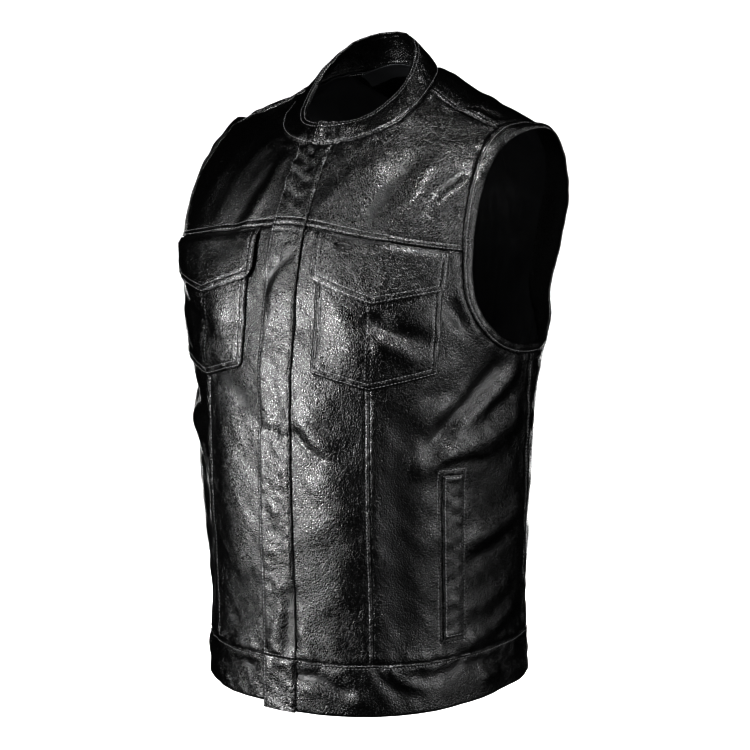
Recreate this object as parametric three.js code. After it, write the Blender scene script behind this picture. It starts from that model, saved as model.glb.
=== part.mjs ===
// A sleeveless leather vest with a stand collar, in its worn shape with nobody in it.
// Millimetres, +Z up. The front faces -Y and the wearer's left is +X.
// Heights count from the hem while the pieces are made; the finished group is lowered so that
// the origin lies at shoulder height, where the wearer's shoulders carry the vest.
import * as THREE from "three";

// Driving sizes of the garment
const NECK_POINT = 617; // height of the shoulder seams' neck ends above the hem
const CHEST = 380; // height where the rounding over the shoulders begins
const HEM_BAND = 50;
const HEM_STEP = 3; // the fronts' hems differ from level by this much at the opening
const YOKE_SEAM = 464; // measured up the cloth at the front
const PRINCESS = 99; // from the centre front to the long panel seam
const SHOULDER_FORWARD = 45; // the shoulder seam lies this far in front of the ridge
const WALL = 2.4; // leather with its lining
const TRIM_WALL = 1.8; // leather laid on leather
const GAP = 0.3; // between pieces at a seam, and under a piece that lies on another
const HALF_GAP = GAP / 2;
const LAID_GAP = 0.8; // under a piece laid on others, more than at a seam because both are bent

// Plan of the body at a few heights: half width at the side, depth in front and behind
const SECTIONS = [
  { height: 0, half: 159, front: 187, back: 139 },
  { height: 90, half: 158, front: 187, back: 126 },
  { height: 200, half: 166, front: 192, back: 114 },
  { height: 300, half: 174, front: 192, back: 109 },
  { height: 345, half: 181, front: 191, back: 110 },
  { height: CHEST, half: 190, front: 185, back: 111 },
];
const FRONT_ROUND = 2.4; // exponent of the plan curve: 2 is an ellipse, more is squarer
const BACK_ROUND = 2.1;

// Shoulder ridge and the rounding up to it
const RIDGE = { slope: 0.46, round: 30, neck: 78, y: 14, forward: 7, reach: 200 };
// Exponents of the rounding: rise acts on the height and lie on the depth, more where further out
const CAP_ROUND = {
  front: { rise: 2, lie: 1.35, lieOut: 0.53 },
  back: { rise: 2.5, lie: 2.5, lieOut: 0 },
};
const TAPE_AT = 110; // the tape that measures heights over the cap lies this far from the middle
// The upper back stands out over the shoulder blades, and less in the middle
const SWELL = { from: 350, out: 18, back: 8, lean: 1.3, middle: 0.5 };

// Side seam: how far round from the centre front it runs
const SIDE_SEAM = [
  { height: 0, round: 334 },
  { height: 80, round: 328 },
  { height: 150, round: 311 },
  { height: 250, round: 301 },
  { height: 347, round: 294 },
];

// Armhole in side view: centre height, reach up, down, forward and back
const ARMHOLE = { height: 425, up: 146, down: 68, forward: 100, back: 62, pointed: 1.85, blunt: 2.25 };
const ARMHOLE_BAND = 10;

// Neckline in plan, and the collar's upper rim
const NECKLINE = { side: 78, middle: -52, forward: 66, back: 102, round: 2.08 };
const RIM = { side: 54, middle: -36, forward: 67.5, back: 63.5, round: 1.8, shift: -3 };
const RIM_HEIGHT = { side: 616.5, tilt: 56.8, bow: 3.6, dip: 11.5 };
const COLLAR = { wall: 2.4, bow: 1.5, lap: 5, under: 3, step: 2.8, gap: 0.6 };

// Pieces laid on the fronts
const PLACKET = { half: 19, wall: 2 };
const FLAP = { inner: 34, outer: 167, top: 462, side: 421, point: 404, round: 9 };
const POCKET = { inner: 41, outer: 165, top: 446, side: 338, point: 323, round: 6, puff: 4 };
const SLOT = { across: 64.5, height: 453, long: 18, tall: 5, cord: 1.6 };
const WELT = { inner: 173, outer: 194, bottom: 71, top: 237, lip: 1 };
// Creases pressed into the chest pockets, in the form of the tables of folds below
const POCKET_FOLDS = [
  { from: [106, 394], to: [164, 368], wide: 12, out: -5 },
  { from: [112, 374], to: [160, 350], wide: 12, out: 3 },
  { from: [60, 404], to: [84, 350], wide: 14, out: 2 },
  { from: [-150, 396], to: [-96, 372], wide: 12, out: -3.5 },
  { from: [-76, 396], to: [-60, 346], wide: 13, out: 2.5 },
];

// Bindings, and what shows inside the back
const BAND_WALL = 3;
const BAND_RAISE = 0.3;
const LINING = 1;
const INSIDE_GAP = 2; // the neck facing hangs a little free of the lining
const LAP_TURN = 0.28; // the collar's lapping end has settled back this far round the neck
const FACING = { half: 57, deep: 50, narrow: 0.55, wall: 1.4, below: 1.2 };
const PATCH = { half: 48, bottom: 600, top: 624, wall: 1 };

const LEATHER = { color: 0x0d0d0e, roughness: 0.42, metalness: 0 };
const DARK_LEATHER = { color: 0x0a0a0b, roughness: 0.5, metalness: 0 };
const SATIN = { color: 0x101113, roughness: 0.35, metalness: 0 };

// Folds on the fronts: ends as distance from the centre front (wearer's left is plus) and height,
// half width, and how far they stand out (a trough is minus)
const FRONT_FOLDS = [
  { from: [148, 276], to: [262, 304], wide: 18, out: 6 },
  { from: [158, 312], to: [232, 340], wide: 18, out: -5 },
  { from: [178, 402], to: [176, 386], wide: 16, out: -3 },
  { from: [131, 278], to: [128, 90], wide: 17, out: -3.5 },
  { from: [38, 300], to: [70, 190], wide: 26, out: 3 },
  { from: [212, 168], to: [272, 194], wide: 18, out: 4 },
  { from: [208, 84], to: [262, 104], wide: 17, out: 3.5 },
  { from: [66, 566], to: [34, 500], wide: 14, out: 3 },
  { from: [128, 560], to: [104, 494], wide: 15, out: 3 },
  { from: [-152, 272], to: [-258, 308], wide: 19, out: 5 },
  { from: [-152, 310], to: [-224, 342], wide: 18, out: -4 },
  { from: [-52, 562], to: [-66, 498], wide: 13, out: 3 },
  { from: [-128, 222], to: [-132, 96], wide: 18, out: -3 },
  { from: [-60, 260], to: [-48, 150], wide: 24, out: 3 },
  { from: [-212, 150], to: [-270, 186], wide: 18, out: 3.5 },
];
// Folds on the back, ends as distance from the centre back (wearer's left is plus) and height
const BACK_FOLDS = [
  { from: [-150, 300], to: [-40, 252], wide: 20, out: 4.5 },
  { from: [-60, 226], to: [96, 214], wide: 19, out: -4 },
  { from: [152, 322], to: [52, 272], wide: 20, out: 5 },
  { from: [30, 182], to: [150, 150], wide: 18, out: 3.5 },
  { from: [-128, 168], to: [-30, 140], wide: 17, out: 3 },
  { from: [-112, 520], to: [-86, 400], wide: 22, out: -3.5 },
  { from: [118, 530], to: [92, 392], wide: 22, out: -4 },
  { from: [6, 560], to: [-4, 430], wide: 26, out: -3 },
];

const TAU = Math.PI * 2;
const QUARTER = Math.PI / 2;

function mix(a, b, share) {
  return a + (b - a) * share;
}

function clamp(value, low, high) {
  return Math.min(Math.max(value, low), high);
}

// Value of a column at a height, on a smooth curve through the table's rows
function fromTable(rows, key, height) {
  const last = rows.length - 1;
  const at = clamp(height, rows[0].height, rows[last].height);
  let i = rows.findIndex((row) => row.height > at) - 1;
  if (i < 0) i = last - 1;
  const tangent = (k) => {
    const low = rows[Math.max(k - 1, 0)];
    const high = rows[Math.min(k + 1, last)];
    return (high[key] - low[key]) / (high.height - low.height);
  };
  const step = rows[i + 1].height - rows[i].height;
  const t = (at - rows[i].height) / step;
  const rise = (3 - 2 * t) * t * t;
  return mix(rows[i][key], rows[i + 1][key], rise)
    + step * (t * (1 - t) ** 2 * tangent(i) - t * t * (1 - t) * tangent(i + 1));
}

// Plan ring at a height: points from the centre front to the centre back with their arc lengths
const RING_STEPS = 180;
const rings = new Map();
function ring(height) {
  const z = clamp(height, 0, CHEST);
  const known = z.toFixed(3);
  if (rings.has(known)) return rings.get(known);
  const half = fromTable(SECTIONS, "half", z);
  const front = fromTable(SECTIONS, "front", z);
  const back = fromTable(SECTIONS, "back", z);
  const points = [];
  for (let i = 0; i <= RING_STEPS; i += 1) {
    const turn = (Math.PI * i) / RING_STEPS;
    const ahead = Math.cos(turn) >= 0;
    const power = ahead ? FRONT_ROUND : BACK_ROUND;
    const across = Math.abs(Math.sin(turn)) / half;
    const along = Math.abs(Math.cos(turn)) / (ahead ? front : back);
    const r = (across ** power + along ** power) ** (-1 / power);
    const x = r * Math.sin(turn);
    const y = -r * Math.cos(turn);
    const before = points[i - 1];
    const arc = before ? before.arc + Math.hypot(x - before.x, y - before.y) : 0;
    points.push({ x, y, arc });
  }
  rings.set(known, points);
  return points;
}

function girth(height) {
  return ring(height)[RING_STEPS].arc;
}

// Point of a ring by its arc length from the centre front, on the wearer's left
function onRing(height, arc) {
  const points = ring(height);
  const at = clamp(arc, 0, points[RING_STEPS].arc);
  let low = 0;
  let high = RING_STEPS;
  while (high - low > 1) {
    const middle = (low + high) >> 1;
    if (points[middle].arc <= at) low = middle;
    else high = middle;
  }
  const share = (at - points[low].arc) / (points[high].arc - points[low].arc);
  return { x: mix(points[low].x, points[high].x, share), y: mix(points[low].y, points[high].y, share) };
}

// Arc length from the centre front at which a ring has that y
function arcAtY(height, y) {
  let low = 0;
  let high = girth(height);
  for (let i = 0; i < 40; i += 1) {
    const middle = (low + high) / 2;
    if (onRing(height, middle).y < y) low = middle;
    else high = middle;
  }
  return low;
}

// Arc length at the chest ring of a point x out, from the centre front or the centre back
function arcAtX(x, behind) {
  const y = chestDepth(x, behind);
  const arc = arcAtY(CHEST, y);
  return behind ? girth(CHEST) - arc : arc;
}

function chestDepth(x, behind) {
  const half = fromTable(SECTIONS, "half", CHEST);
  const depth = behind ? fromTable(SECTIONS, "back", CHEST) : -fromTable(SECTIONS, "front", CHEST);
  const power = behind ? BACK_ROUND : FRONT_ROUND;
  return depth * Math.max(0, 1 - (Math.abs(x) / half) ** power) ** (1 / power);
}

function ridge(x) {
  const out = Math.hypot(x, RIDGE.round) - Math.hypot(RIDGE.neck, RIDGE.round);
  return { y: RIDGE.y - (RIDGE.forward * Math.abs(x)) / RIDGE.reach, z: NECK_POINT - RIDGE.slope * out };
}

function capPowers(x, behind) {
  const { rise, lie, lieOut } = behind ? CAP_ROUND.back : CAP_ROUND.front;
  return { rise, lie: lie + (lieOut * Math.abs(x)) / RIDGE.reach };
}

// Point over the shoulders: turn runs from 0 at the chest to a quarter at the ridge
function onCap(x, depth, turn, behind) {
  const top = ridge(x);
  const { rise, lie } = capPowers(x, behind);
  const up = Math.min(Math.sin(turn), 1);
  const out = (1 - up ** rise) ** (1 / lie);
  return new THREE.Vector3(x, top.y + (depth - top.y) * out, CHEST + (top.z - CHEST) * up);
}

// Tape measure over the cap: lengths up the cloth for even steps of turn
const TAPE_STEPS = 120;
function tapeOver(behind) {
  const lengths = [0];
  const depth = chestDepth(TAPE_AT, behind);
  let before = onCap(TAPE_AT, depth, 0, behind);
  for (let i = 1; i <= TAPE_STEPS; i += 1) {
    const here = onCap(TAPE_AT, depth, (QUARTER * i) / TAPE_STEPS, behind);
    lengths.push(lengths[i - 1] + here.distanceTo(before));
    before = here;
  }
  return lengths;
}
const TAPE = { front: tapeOver(false), back: tapeOver(true) };
const RIDGE_AT = { front: CHEST + TAPE.front[TAPE_STEPS], back: CHEST + TAPE.back[TAPE_STEPS] };
const SHOULDER_SEAM = RIDGE_AT.front - SHOULDER_FORWARD;

function turnAt(tape, length) {
  const at = clamp(length, 0, tape[TAPE_STEPS]);
  let i = tape.findIndex((value) => value > at) - 1;
  if (i < 0) i = TAPE_STEPS - 1;
  return (QUARTER * (i + (at - tape[i]) / (tape[i + 1] - tape[i]))) / TAPE_STEPS;
}

function lengthAt(tape, turn) {
  const step = clamp((turn / QUARTER) * TAPE_STEPS, 0, TAPE_STEPS);
  const i = Math.min(Math.floor(step), TAPE_STEPS - 1);
  return mix(tape[i], tape[i + 1], step - i);
}

// How far the folds in a list lift the cloth at a place
function folded(folds, across, height) {
  let lift = 0;
  for (const fold of folds) {
    const runX = fold.to[0] - fold.from[0];
    const runY = fold.to[1] - fold.from[1];
    const long = Math.hypot(runX, runY);
    const x = across - fold.from[0];
    const y = height - fold.from[1];
    const along = (x * runX + y * runY) / (long * long);
    const aside = (x * runY - y * runX) / long;
    const past = Math.max(0, -along, along - 1) * long;
    lift += fold.out * Math.exp(-((aside / fold.wide) ** 2) - (past / (fold.wide * 1.3)) ** 2);
  }
  return lift;
}

// A chart turns a place on the cloth into a point. The front chart counts from the centre front.
function frontBare(across, height) {
  const side = Math.sign(across) || 1;
  const at = onRing(Math.min(height, CHEST), Math.abs(across));
  if (height <= CHEST) return new THREE.Vector3(side * at.x, at.y, height);
  return onCap(side * at.x, at.y, turnAt(TAPE.front, height - CHEST), at.y > 0);
}

// The back chart counts from the centre back, and past the ridge it comes down the front
function backBare(across, height) {
  const side = Math.sign(across) || 1;
  const low = Math.min(height, CHEST);
  const at = onRing(low, girth(low) - Math.abs(across));
  const x = side * at.x;
  if (height > RIDGE_AT.back) {
    const down = height - RIDGE_AT.back;
    return onCap(x, chestDepth(x, false), turnAt(TAPE.front, TAPE.front[TAPE_STEPS] - down), false);
  }
  const bare = height <= CHEST
    ? new THREE.Vector3(x, at.y, height)
    : onCap(x, at.y, turnAt(TAPE.back, height - CHEST), true);
  const share = clamp((height - SWELL.from) / (RIDGE_AT.back - SWELL.from), 0, 1);
  const stand = Math.sin(Math.PI * share ** SWELL.lean) ** 2;
  const sideways = (x / fromTable(SECTIONS, "half", CHEST)) ** 2;
  bare.x += side * SWELL.out * stand * sideways;
  bare.y += SWELL.back * stand * mix(SWELL.middle, 1, sideways);
  return bare;
}

// Outward direction of a chart at a place
function outward(chart, across, height) {
  const step = 0.5;
  const along = chart.bare(across + step, height).sub(chart.bare(across - step, height));
  const up = chart.bare(across, height + step).sub(chart.bare(across, height - step));
  return along.cross(up).multiplyScalar(chart.turn).normalize();
}

const FRONT = { bare: frontBare, folds: FRONT_FOLDS, turn: 1 };
const BACK = { bare: backBare, folds: BACK_FOLDS, turn: -1 };

// The cloth's outer face and outward direction at a place given as [across, height]
function clothAt(chart, [across, height]) {
  const out = outward(chart, across, height);
  const face = chart.bare(across, height).addScaledVector(out, folded(chart.folds, across, height));
  return { face, out, at: [across, height] };
}

// A closed wall from one or more grids of places that share their common edges.
// Each place is { face, out, at }. Lift and swell move the whole wall out, and raise its outer face.
function wallFrom(grids, { lift = 0, wall = WALL, raise = () => 0, swell = () => 0 } = {}) {
  const outer = [];
  const inner = [];
  const known = new Map();
  const index = (place) => {
    const key = place.face.toArray().map((value) => value.toFixed(2)).join();
    if (!known.has(key)) {
      known.set(key, outer.length);
      const level = lift + swell(place);
      outer.push(place.face.clone().addScaledVector(place.out, level + raise(place)));
      inner.push(place.face.clone().addScaledVector(place.out, level - wall));
    }
    return known.get(key);
  };
  const faces = [];
  for (const grid of grids) {
    for (let j = 0; j + 1 < grid.length; j += 1) {
      for (let i = 0; i + 1 < grid[j].length; i += 1) {
        const [a, b, c, d] = [grid[j][i], grid[j][i + 1], grid[j + 1][i + 1], grid[j + 1][i]].map(index);
        if (outer[a].distanceTo(outer[c]) < outer[b].distanceTo(outer[d])) faces.push([a, b, c], [a, c, d]);
        else faces.push([a, b, d], [b, c, d]);
      }
    }
  }
  const middle = grids[0][grids[0].length >> 1];
  const start = middle[middle.length >> 1];
  const sound = facesOut(faces.filter((f) => new Set(f).size === 3), outer, index(start), start.out);
  const edges = new Set(sound.flatMap(([a, b, c]) => [`${a},${b}`, `${b},${c}`, `${c},${a}`]));
  const count = outer.length;
  const triangles = [];
  for (const [a, b, c] of sound) {
    triangles.push(a, b, c, a + count, c + count, b + count);
    for (const [p, q] of [[a, b], [b, c], [c, a]]) {
      if (!edges.has(`${q},${p}`)) triangles.push(q, p, p + count, q, p + count, q + count);
    }
  }
  const geometry = new THREE.BufferGeometry();
  const points = [...outer, ...inner].flatMap((point) => point.toArray());
  geometry.setAttribute("position", new THREE.Float32BufferAttribute(points, 3));
  geometry.setIndex(triangles);
  return geometry;
}

// The faces, all turned over if they look inwards near the given point
function facesOut(faces, points, near, out) {
  const face = faces.find((f) => f.includes(near));
  const [a, b, c] = face.map((i) => points[i]);
  const normal = b.clone().sub(a).cross(c.clone().sub(a));
  return normal.dot(out) > 0 ? faces : faces.map(([p, q, r]) => [p, r, q]);
}

function spread(from, to, steps) {
  return Array.from({ length: steps + 1 }, (_, i) => mix(from, to, i / steps));
}

function line(from, to, steps) {
  return spread(0, 1, steps).map((t) => [mix(from[0], to[0], t), mix(from[1], to[1], t)]);
}

// A row at one height whose places are spread like those of another row along its own length
function spreadLike(row, from, to, height) {
  const lengths = [0];
  for (let i = 1; i < row.length; i += 1) {
    lengths.push(lengths[i - 1] + Math.hypot(row[i][0] - row[i - 1][0], row[i][1] - row[i - 1][1]));
  }
  return lengths.map((length) => [mix(from, to, length / lengths[row.length - 1]), height]);
}

// Grid of places between a lower and an upper row
function ruled(lower, upper, steps) {
  return spread(0, 1, steps).map((t) => lower.map((place, i) => [
    mix(place[0], upper[i][0], t),
    mix(place[1], upper[i][1], t),
  ]));
}

// Grid of places filled in between four edges that meet at their corners
function filled(lower, upper, left, right) {
  const columns = lower.length - 1;
  const rows = left.length - 1;
  return left.map((_, j) => lower.map((__, i) => {
    const u = i / columns;
    const v = j / rows;
    return [0, 1].map((k) => mix(lower[i][k], upper[i][k], v) + mix(left[j][k], right[j][k], u)
      - mix(mix(lower[0][k], lower[columns][k], u), mix(upper[0][k], upper[columns][k], u), v));
  }));
}

function onChart(chart, grid) {
  return grid.map((row) => row.map((place) => clothAt(chart, place)));
}

function mirrored(grid) {
  return grid.map((row) => row.map(([across, height]) => [-across, height]));
}

// Superellipse in the armhole's plane, at a turn from straight up towards the front
function armholeAt(turn, grow) {
  const ahead = Math.sin(turn) >= 0;
  const high = Math.cos(turn) >= 0;
  const power = high ? ARMHOLE.pointed : ARMHOLE.blunt;
  const s = Math.abs(Math.sin(turn));
  const c = Math.abs(Math.cos(turn));
  const r = (s ** power + c ** power) ** (-1 / power);
  return {
    y: -Math.sign(Math.sin(turn)) * r * s * ((ahead ? ARMHOLE.forward : ARMHOLE.back) + grow),
    z: ARMHOLE.height + Math.sign(Math.cos(turn)) * r * c * ((high ? ARMHOLE.up : ARMHOLE.down) + grow),
  };
}

// Place on the wearer's left side of the cloth with that y and height, for the front or back chart
function sidePlace(y, z, behind) {
  if (z <= CHEST) {
    const arc = arcAtY(z, y);
    return [behind ? girth(z) - arc : arc, z];
  }
  let low = 0;
  let high = fromTable(SECTIONS, "half", CHEST);
  let turn = 0;
  for (let i = 0; i < 50; i += 1) {
    const x = (low + high) / 2;
    const top = ridge(x);
    const past = y > top.y;
    const { rise, lie } = capPowers(x, past);
    const up = (z - CHEST) / (top.z - CHEST);
    const out = Math.abs((y - top.y) / (chestDepth(x, past) - top.y));
    turn = Math.asin(Math.min(up, 1));
    if (up ** rise + out ** lie < 1) low = x;
    else high = x;
  }
  return placeOver(low, turn, y > ridge(low).y, behind);
}

// The same place over the shoulder in either chart; past says that it lies behind the ridge
function placeOver(x, turn, past, behind) {
  const front = lengthAt(TAPE.front, turn);
  if (!behind) return [arcAtX(x, false), CHEST + front];
  if (past) return [arcAtX(x, true), CHEST + lengthAt(TAPE.back, turn)];
  return [arcAtX(x, true), RIDGE_AT.back + TAPE.front[TAPE_STEPS] - front];
}

// Neckline place at a turn from the centre front towards the wearer's left
function neckPlan(shape, turn) {
  const s = Math.abs(Math.sin(turn));
  const c = Math.abs(Math.cos(turn));
  const r = (s ** shape.round + c ** shape.round) ** (-1 / shape.round);
  const depth = Math.cos(turn) >= 0 ? shape.forward : shape.back;
  return { x: shape.side * r * Math.sin(turn), y: shape.middle - depth * r * Math.cos(turn) };
}

function neckPlace(turn, behind, grow = 0) {
  const shape = { ...NECKLINE };
  shape.side += grow;
  shape.forward += grow;
  shape.back += grow;
  const { x, y } = neckPlan(shape, turn);
  const top = ridge(x);
  const past = y > top.y;
  const out = clamp(Math.abs((y - top.y) / (chestDepth(x, past) - top.y)), 0, 1);
  const { rise, lie } = capPowers(x, past);
  const up = (1 - out ** lie) ** (1 / rise);
  const place = placeOver(Math.abs(x), Math.asin(up), past, behind);
  return [Math.sign(x) * place[0], place[1]];
}

// Turn at which a test on a place passes from no to yes, between two turns
function turnWhere(test, from, to) {
  let low = from;
  let high = to;
  for (let i = 0; i < 40; i += 1) {
    const middle = (low + high) / 2;
    if (test(middle)) high = middle;
    else low = middle;
  }
  return high;
}

// Corners of the armhole seam, as turns from straight up towards the front
function seamPlace(turn, behind) {
  const at = armholeAt(turn, ARMHOLE_BAND);
  return sidePlace(at.y, at.z, behind);
}
const BACK_SPLIT = 452; // height at which the back's lower grid meets its upper one
const AT_SHOULDER = turnWhere((turn) => seamPlace(turn, false)[1] < SHOULDER_SEAM, 0.02, QUARTER);
const AT_YOKE = turnWhere((turn) => seamPlace(turn, false)[1] < YOKE_SEAM, 0.2, Math.PI * 0.6);
const AT_SIDE = turnWhere((turn) => {
  const at = armholeAt(turn, ARMHOLE_BAND);
  return arcAtY(at.z, at.y) > fromTable(SIDE_SEAM, "round", at.z);
}, Math.PI * 0.7, Math.PI * 1.2);
const AT_SPLIT = turnWhere((turn) => seamPlace(turn, true)[1] > BACK_SPLIT, Math.PI * 1.2, Math.PI * 1.6);
const CORNERS = [AT_SHOULDER, AT_YOKE, AT_SIDE, AT_SPLIT, TAU + AT_SHOULDER];
const CORNER_STEPS = [9, 8, 6, 9];
const SEAM_STEPS = 20; // rows of cloth along the side seams
function between(i) {
  return spread(CORNERS[i], CORNERS[i + 1], CORNER_STEPS[i]);
}

// Turn round the neck at which the shoulder seam meets it
const AT_NECK = turnWhere((turn) => neckPlace(turn, false)[1] > SHOULDER_SEAM, 0.4, Math.PI * 0.7);
const NECK_STEPS = { front: 7, back: 10 };
const SHOULDER_STEPS = 5;

function material(look) {
  return new THREE.MeshStandardMaterial(look);
}

const vest = new THREE.Group();
function add(name, geometry, look = LEATHER) {
  const mesh = new THREE.Mesh(geometry, material(look));
  mesh.name = name;
  vest.add(mesh);
}

function sides(make) {
  make("left", 1);
  make("right", -1);
}

function handed(grid, side) {
  return side > 0 ? grid : mirrored(grid);
}

function sideSeam(height, behind) {
  const arc = fromTable(SIDE_SEAM, "round", height);
  return behind ? girth(height) - arc - HALF_GAP : arc - HALF_GAP;
}

// Long centre panels, from the hem band to the yoke seam
function frontCentres() {
  const rows = spread(HEM_BAND + HALF_GAP, YOKE_SEAM - HALF_GAP, 22);
  const columns = spread(HALF_GAP, PRINCESS - HALF_GAP, 6);
  const grid = rows.map((height) => columns.map((across) => [across, height]));
  sides((name, side) => add(`front_centre_${name}`, wallFrom([onChart(FRONT, handed(grid, side))])));
}

// Side panels of the front, cut out round the armhole
function frontSides() {
  const seam = spread(PRINCESS + HALF_GAP, seamPlace(AT_YOKE, false)[0] - HALF_GAP, 5);
  const armhole = between(1).slice(1).map((turn) => {
    const at = armholeAt(turn, ARMHOLE_BAND + GAP);
    return sidePlace(at.y, at.z, false);
  });
  const top = [...seam.map((across) => [across, YOKE_SEAM - HALF_GAP]), ...armhole];
  top[top.length - 1][0] -= HALF_GAP;
  const bottom = spreadLike(top, top[0][0], sideSeam(HEM_BAND, false), HEM_BAND + HALF_GAP);
  const grid = ruled(bottom, top, SEAM_STEPS);
  for (const row of grid) row[row.length - 1][0] = sideSeam(row[row.length - 1][1], false);
  sides((name, side) => add(`front_side_${name}`, wallFrom([onChart(FRONT, handed(grid, side))])));
}

// Yokes of the front, from the yoke seam to the neckline and the shoulder seam
function frontYokes() {
  const bottomAt = YOKE_SEAM + HALF_GAP;
  const topAt = SHOULDER_SEAM - HALF_GAP;
  const right = between(0).reverse().map((turn) => {
    const at = armholeAt(turn, ARMHOLE_BAND + GAP);
    return sidePlace(at.y, at.z, false);
  });
  right[0][1] = bottomAt;
  right[right.length - 1][1] = topAt;
  const turns = spread(HALF_GAP / NECKLINE.forward, AT_NECK, NECK_STEPS.front);
  const neck = turns.map((turn) => neckPlace(turn, false));
  neck[neck.length - 1][1] = topAt;
  const rise = CORNER_STEPS[0] - NECK_STEPS.front;
  const left = [...line([HALF_GAP, bottomAt], neck[0], rise), ...neck.slice(1)];
  const lower = line(left[0], right[0], 10);
  const upper = line(left[left.length - 1], right[right.length - 1], 10);
  const grid = filled(lower, upper, left, right);
  sides((name, side) => add(`front_yoke_${name}`, wallFrom([onChart(FRONT, handed(grid, side))])));
}

// Places along half of the back's upper edge: the shoulder seam, then the neckline to the middle
function backTop() {
  const seamAt = RIDGE_AT.back + SHOULDER_FORWARD - HALF_GAP;
  const outer = seamPlace(AT_SHOULDER, true)[0] - GAP;
  const neck = spread(AT_NECK, Math.PI, NECK_STEPS.back / 2).map((turn) => neckPlace(turn, true));
  neck[0][1] = seamAt;
  return [...line([outer, seamAt], neck[0], SHOULDER_STEPS), ...neck.slice(1)];
}

// The wearer's left half of a row and its mirror image, as one row from left to right
function wholeRow(half) {
  return [...half, ...half.slice(0, -1).reverse().map(([across, height]) => [-across, height])];
}

// Two grids for the back: one up to the armholes' backs and one over the shoulders
function backGrids() {
  const [under, behind] = [2, 3].map((i) => between(i).map((turn) => {
    const at = armholeAt(turn, ARMHOLE_BAND + GAP);
    return sidePlace(at.y, at.z, true);
  }));
  const top = backTop();
  behind[behind.length - 1] = top[0];
  const across = line(behind[0], [0, behind[0][1]], top.length - 1);
  const half = [...under.slice(0, -1), ...across];
  const foot = spreadLike(half, sideSeam(HEM_BAND, true), 0, HEM_BAND + HALF_GAP);
  const body = ruled(wholeRow(foot), wholeRow(half), SEAM_STEPS);
  for (const row of body) {
    const seam = sideSeam(row[0][1], true);
    row[0][0] = seam;
    row[row.length - 1][0] = -seam;
  }
  return [body, filled(wholeRow(across), wholeRow(top), behind, mirrored([behind])[0])];
}

// The back in one piece, and the lining that shows inside it through the armholes and the neck
function backPanel() {
  const grids = backGrids().map((grid) => onChart(BACK, grid));
  add("back", wallFrom(grids));
  add("back_lining", wallFrom(grids, { lift: -WALL - GAP, wall: LINING }), SATIN);
}

// Height of the fronts' lower edge: the wearer's left one hangs a little lower at the opening
function hemEdge(across) {
  return -Math.sign(across) * HEM_STEP * clamp(1 - Math.abs(across) / SIDE_SEAM[0].round, 0, 1) ** 2;
}

// Band round the hem: one piece under each front and one under the back
function hemBands() {
  sides((name, side) => {
    const edge = spread(HALF_GAP, sideSeam(0, false), 18).map((x) => [x, hemEdge(side * x)]);
    const seam = spread(HALF_GAP, sideSeam(HEM_BAND, false), 18).map((x) => [x, HEM_BAND - HALF_GAP]);
    add(`hem_band_front_${name}`, wallFrom([onChart(FRONT, handed(ruled(edge, seam, 3), side))]));
  });
  const back = spread(0, HEM_BAND - HALF_GAP, 3).map((height) => {
    const seam = sideSeam(height, true);
    return spread(seam, -seam, 20).map((x) => [x, height]);
  });
  add("hem_band_back", wallFrom([onChart(BACK, back)]));
}

// A piece laid on the fronts, a gap above them or above the pieces below it
function laidOn(grid, { wall = TRIM_WALL, level = 1, raise, swell } = {}) {
  const lift = level * LAID_GAP + (level - 1) * TRIM_WALL + wall;
  return wallFrom([onChart(FRONT, grid)], { lift, wall, raise, swell });
}

// Strip that covers the front opening, in three lengths that meet at the yoke and hem seams
function placket() {
  const columns = spread(-PLACKET.half, PLACKET.half, 3);
  const neck = (across) => {
    const turn = turnWhere((t) => neckPlan(NECKLINE, t).x > Math.abs(across), 0, QUARTER);
    return neckPlace(turn, false)[1] - 2 * GAP;
  };
  const lengths = [
    { name: "hem", bottom: () => hemEdge(1), top: () => HEM_BAND - HALF_GAP, steps: 3 },
    { name: "body", bottom: () => HEM_BAND + HALF_GAP, top: () => YOKE_SEAM - HALF_GAP, steps: 22 },
    { name: "yoke", bottom: () => YOKE_SEAM + HALF_GAP, top: neck, steps: 6 },
  ];
  for (const { name, bottom, top, steps } of lengths) {
    const grid = ruled(columns.map((x) => [x, bottom(x)]), columns.map((x) => [x, top(x)]), steps);
    add(`placket_${name}`, laidOn(grid, { wall: PLACKET.wall }));
  }
}

// Columns across a flap or pocket, closer together at its sides, with one on the panel seam
function pointedColumns(shape) {
  const ease = spread(0, 1, 6).map((t) => t ** 1.5);
  const inner = ease.map((t) => mix(shape.inner, PRINCESS, t));
  const outer = ease.map((t) => mix(shape.outer, PRINCESS, t)).reverse();
  return [...inner, ...outer.slice(1)];
}

// Height of a flap's or pocket's lower edge, which runs from rounded corners down to a point
function pointedEdge(shape, across) {
  const edge = across < PRINCESS ? shape.inner : shape.outer;
  const share = (across - edge) / (PRINCESS - edge);
  const inside = clamp(Math.abs(across - edge) / shape.round, 0, 1);
  const corner = shape.round * (1 - Math.sqrt(1 - (1 - inside) ** 2));
  return mix(shape.side, shape.point, share) + corner;
}

// How far a chest pocket's face stands out, with its creases
function pocketPuff([across, height]) {
  const u = clamp((Math.abs(across) - POCKET.inner) / (POCKET.outer - POCKET.inner), 0, 1);
  const v = clamp((height - POCKET.point) / (POCKET.top - POCKET.point), 0, 1);
  const belly = Math.sin(Math.PI * u) * Math.sin(Math.PI * v);
  return belly * (POCKET.puff + folded(POCKET_FOLDS, across, height));
}

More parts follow.
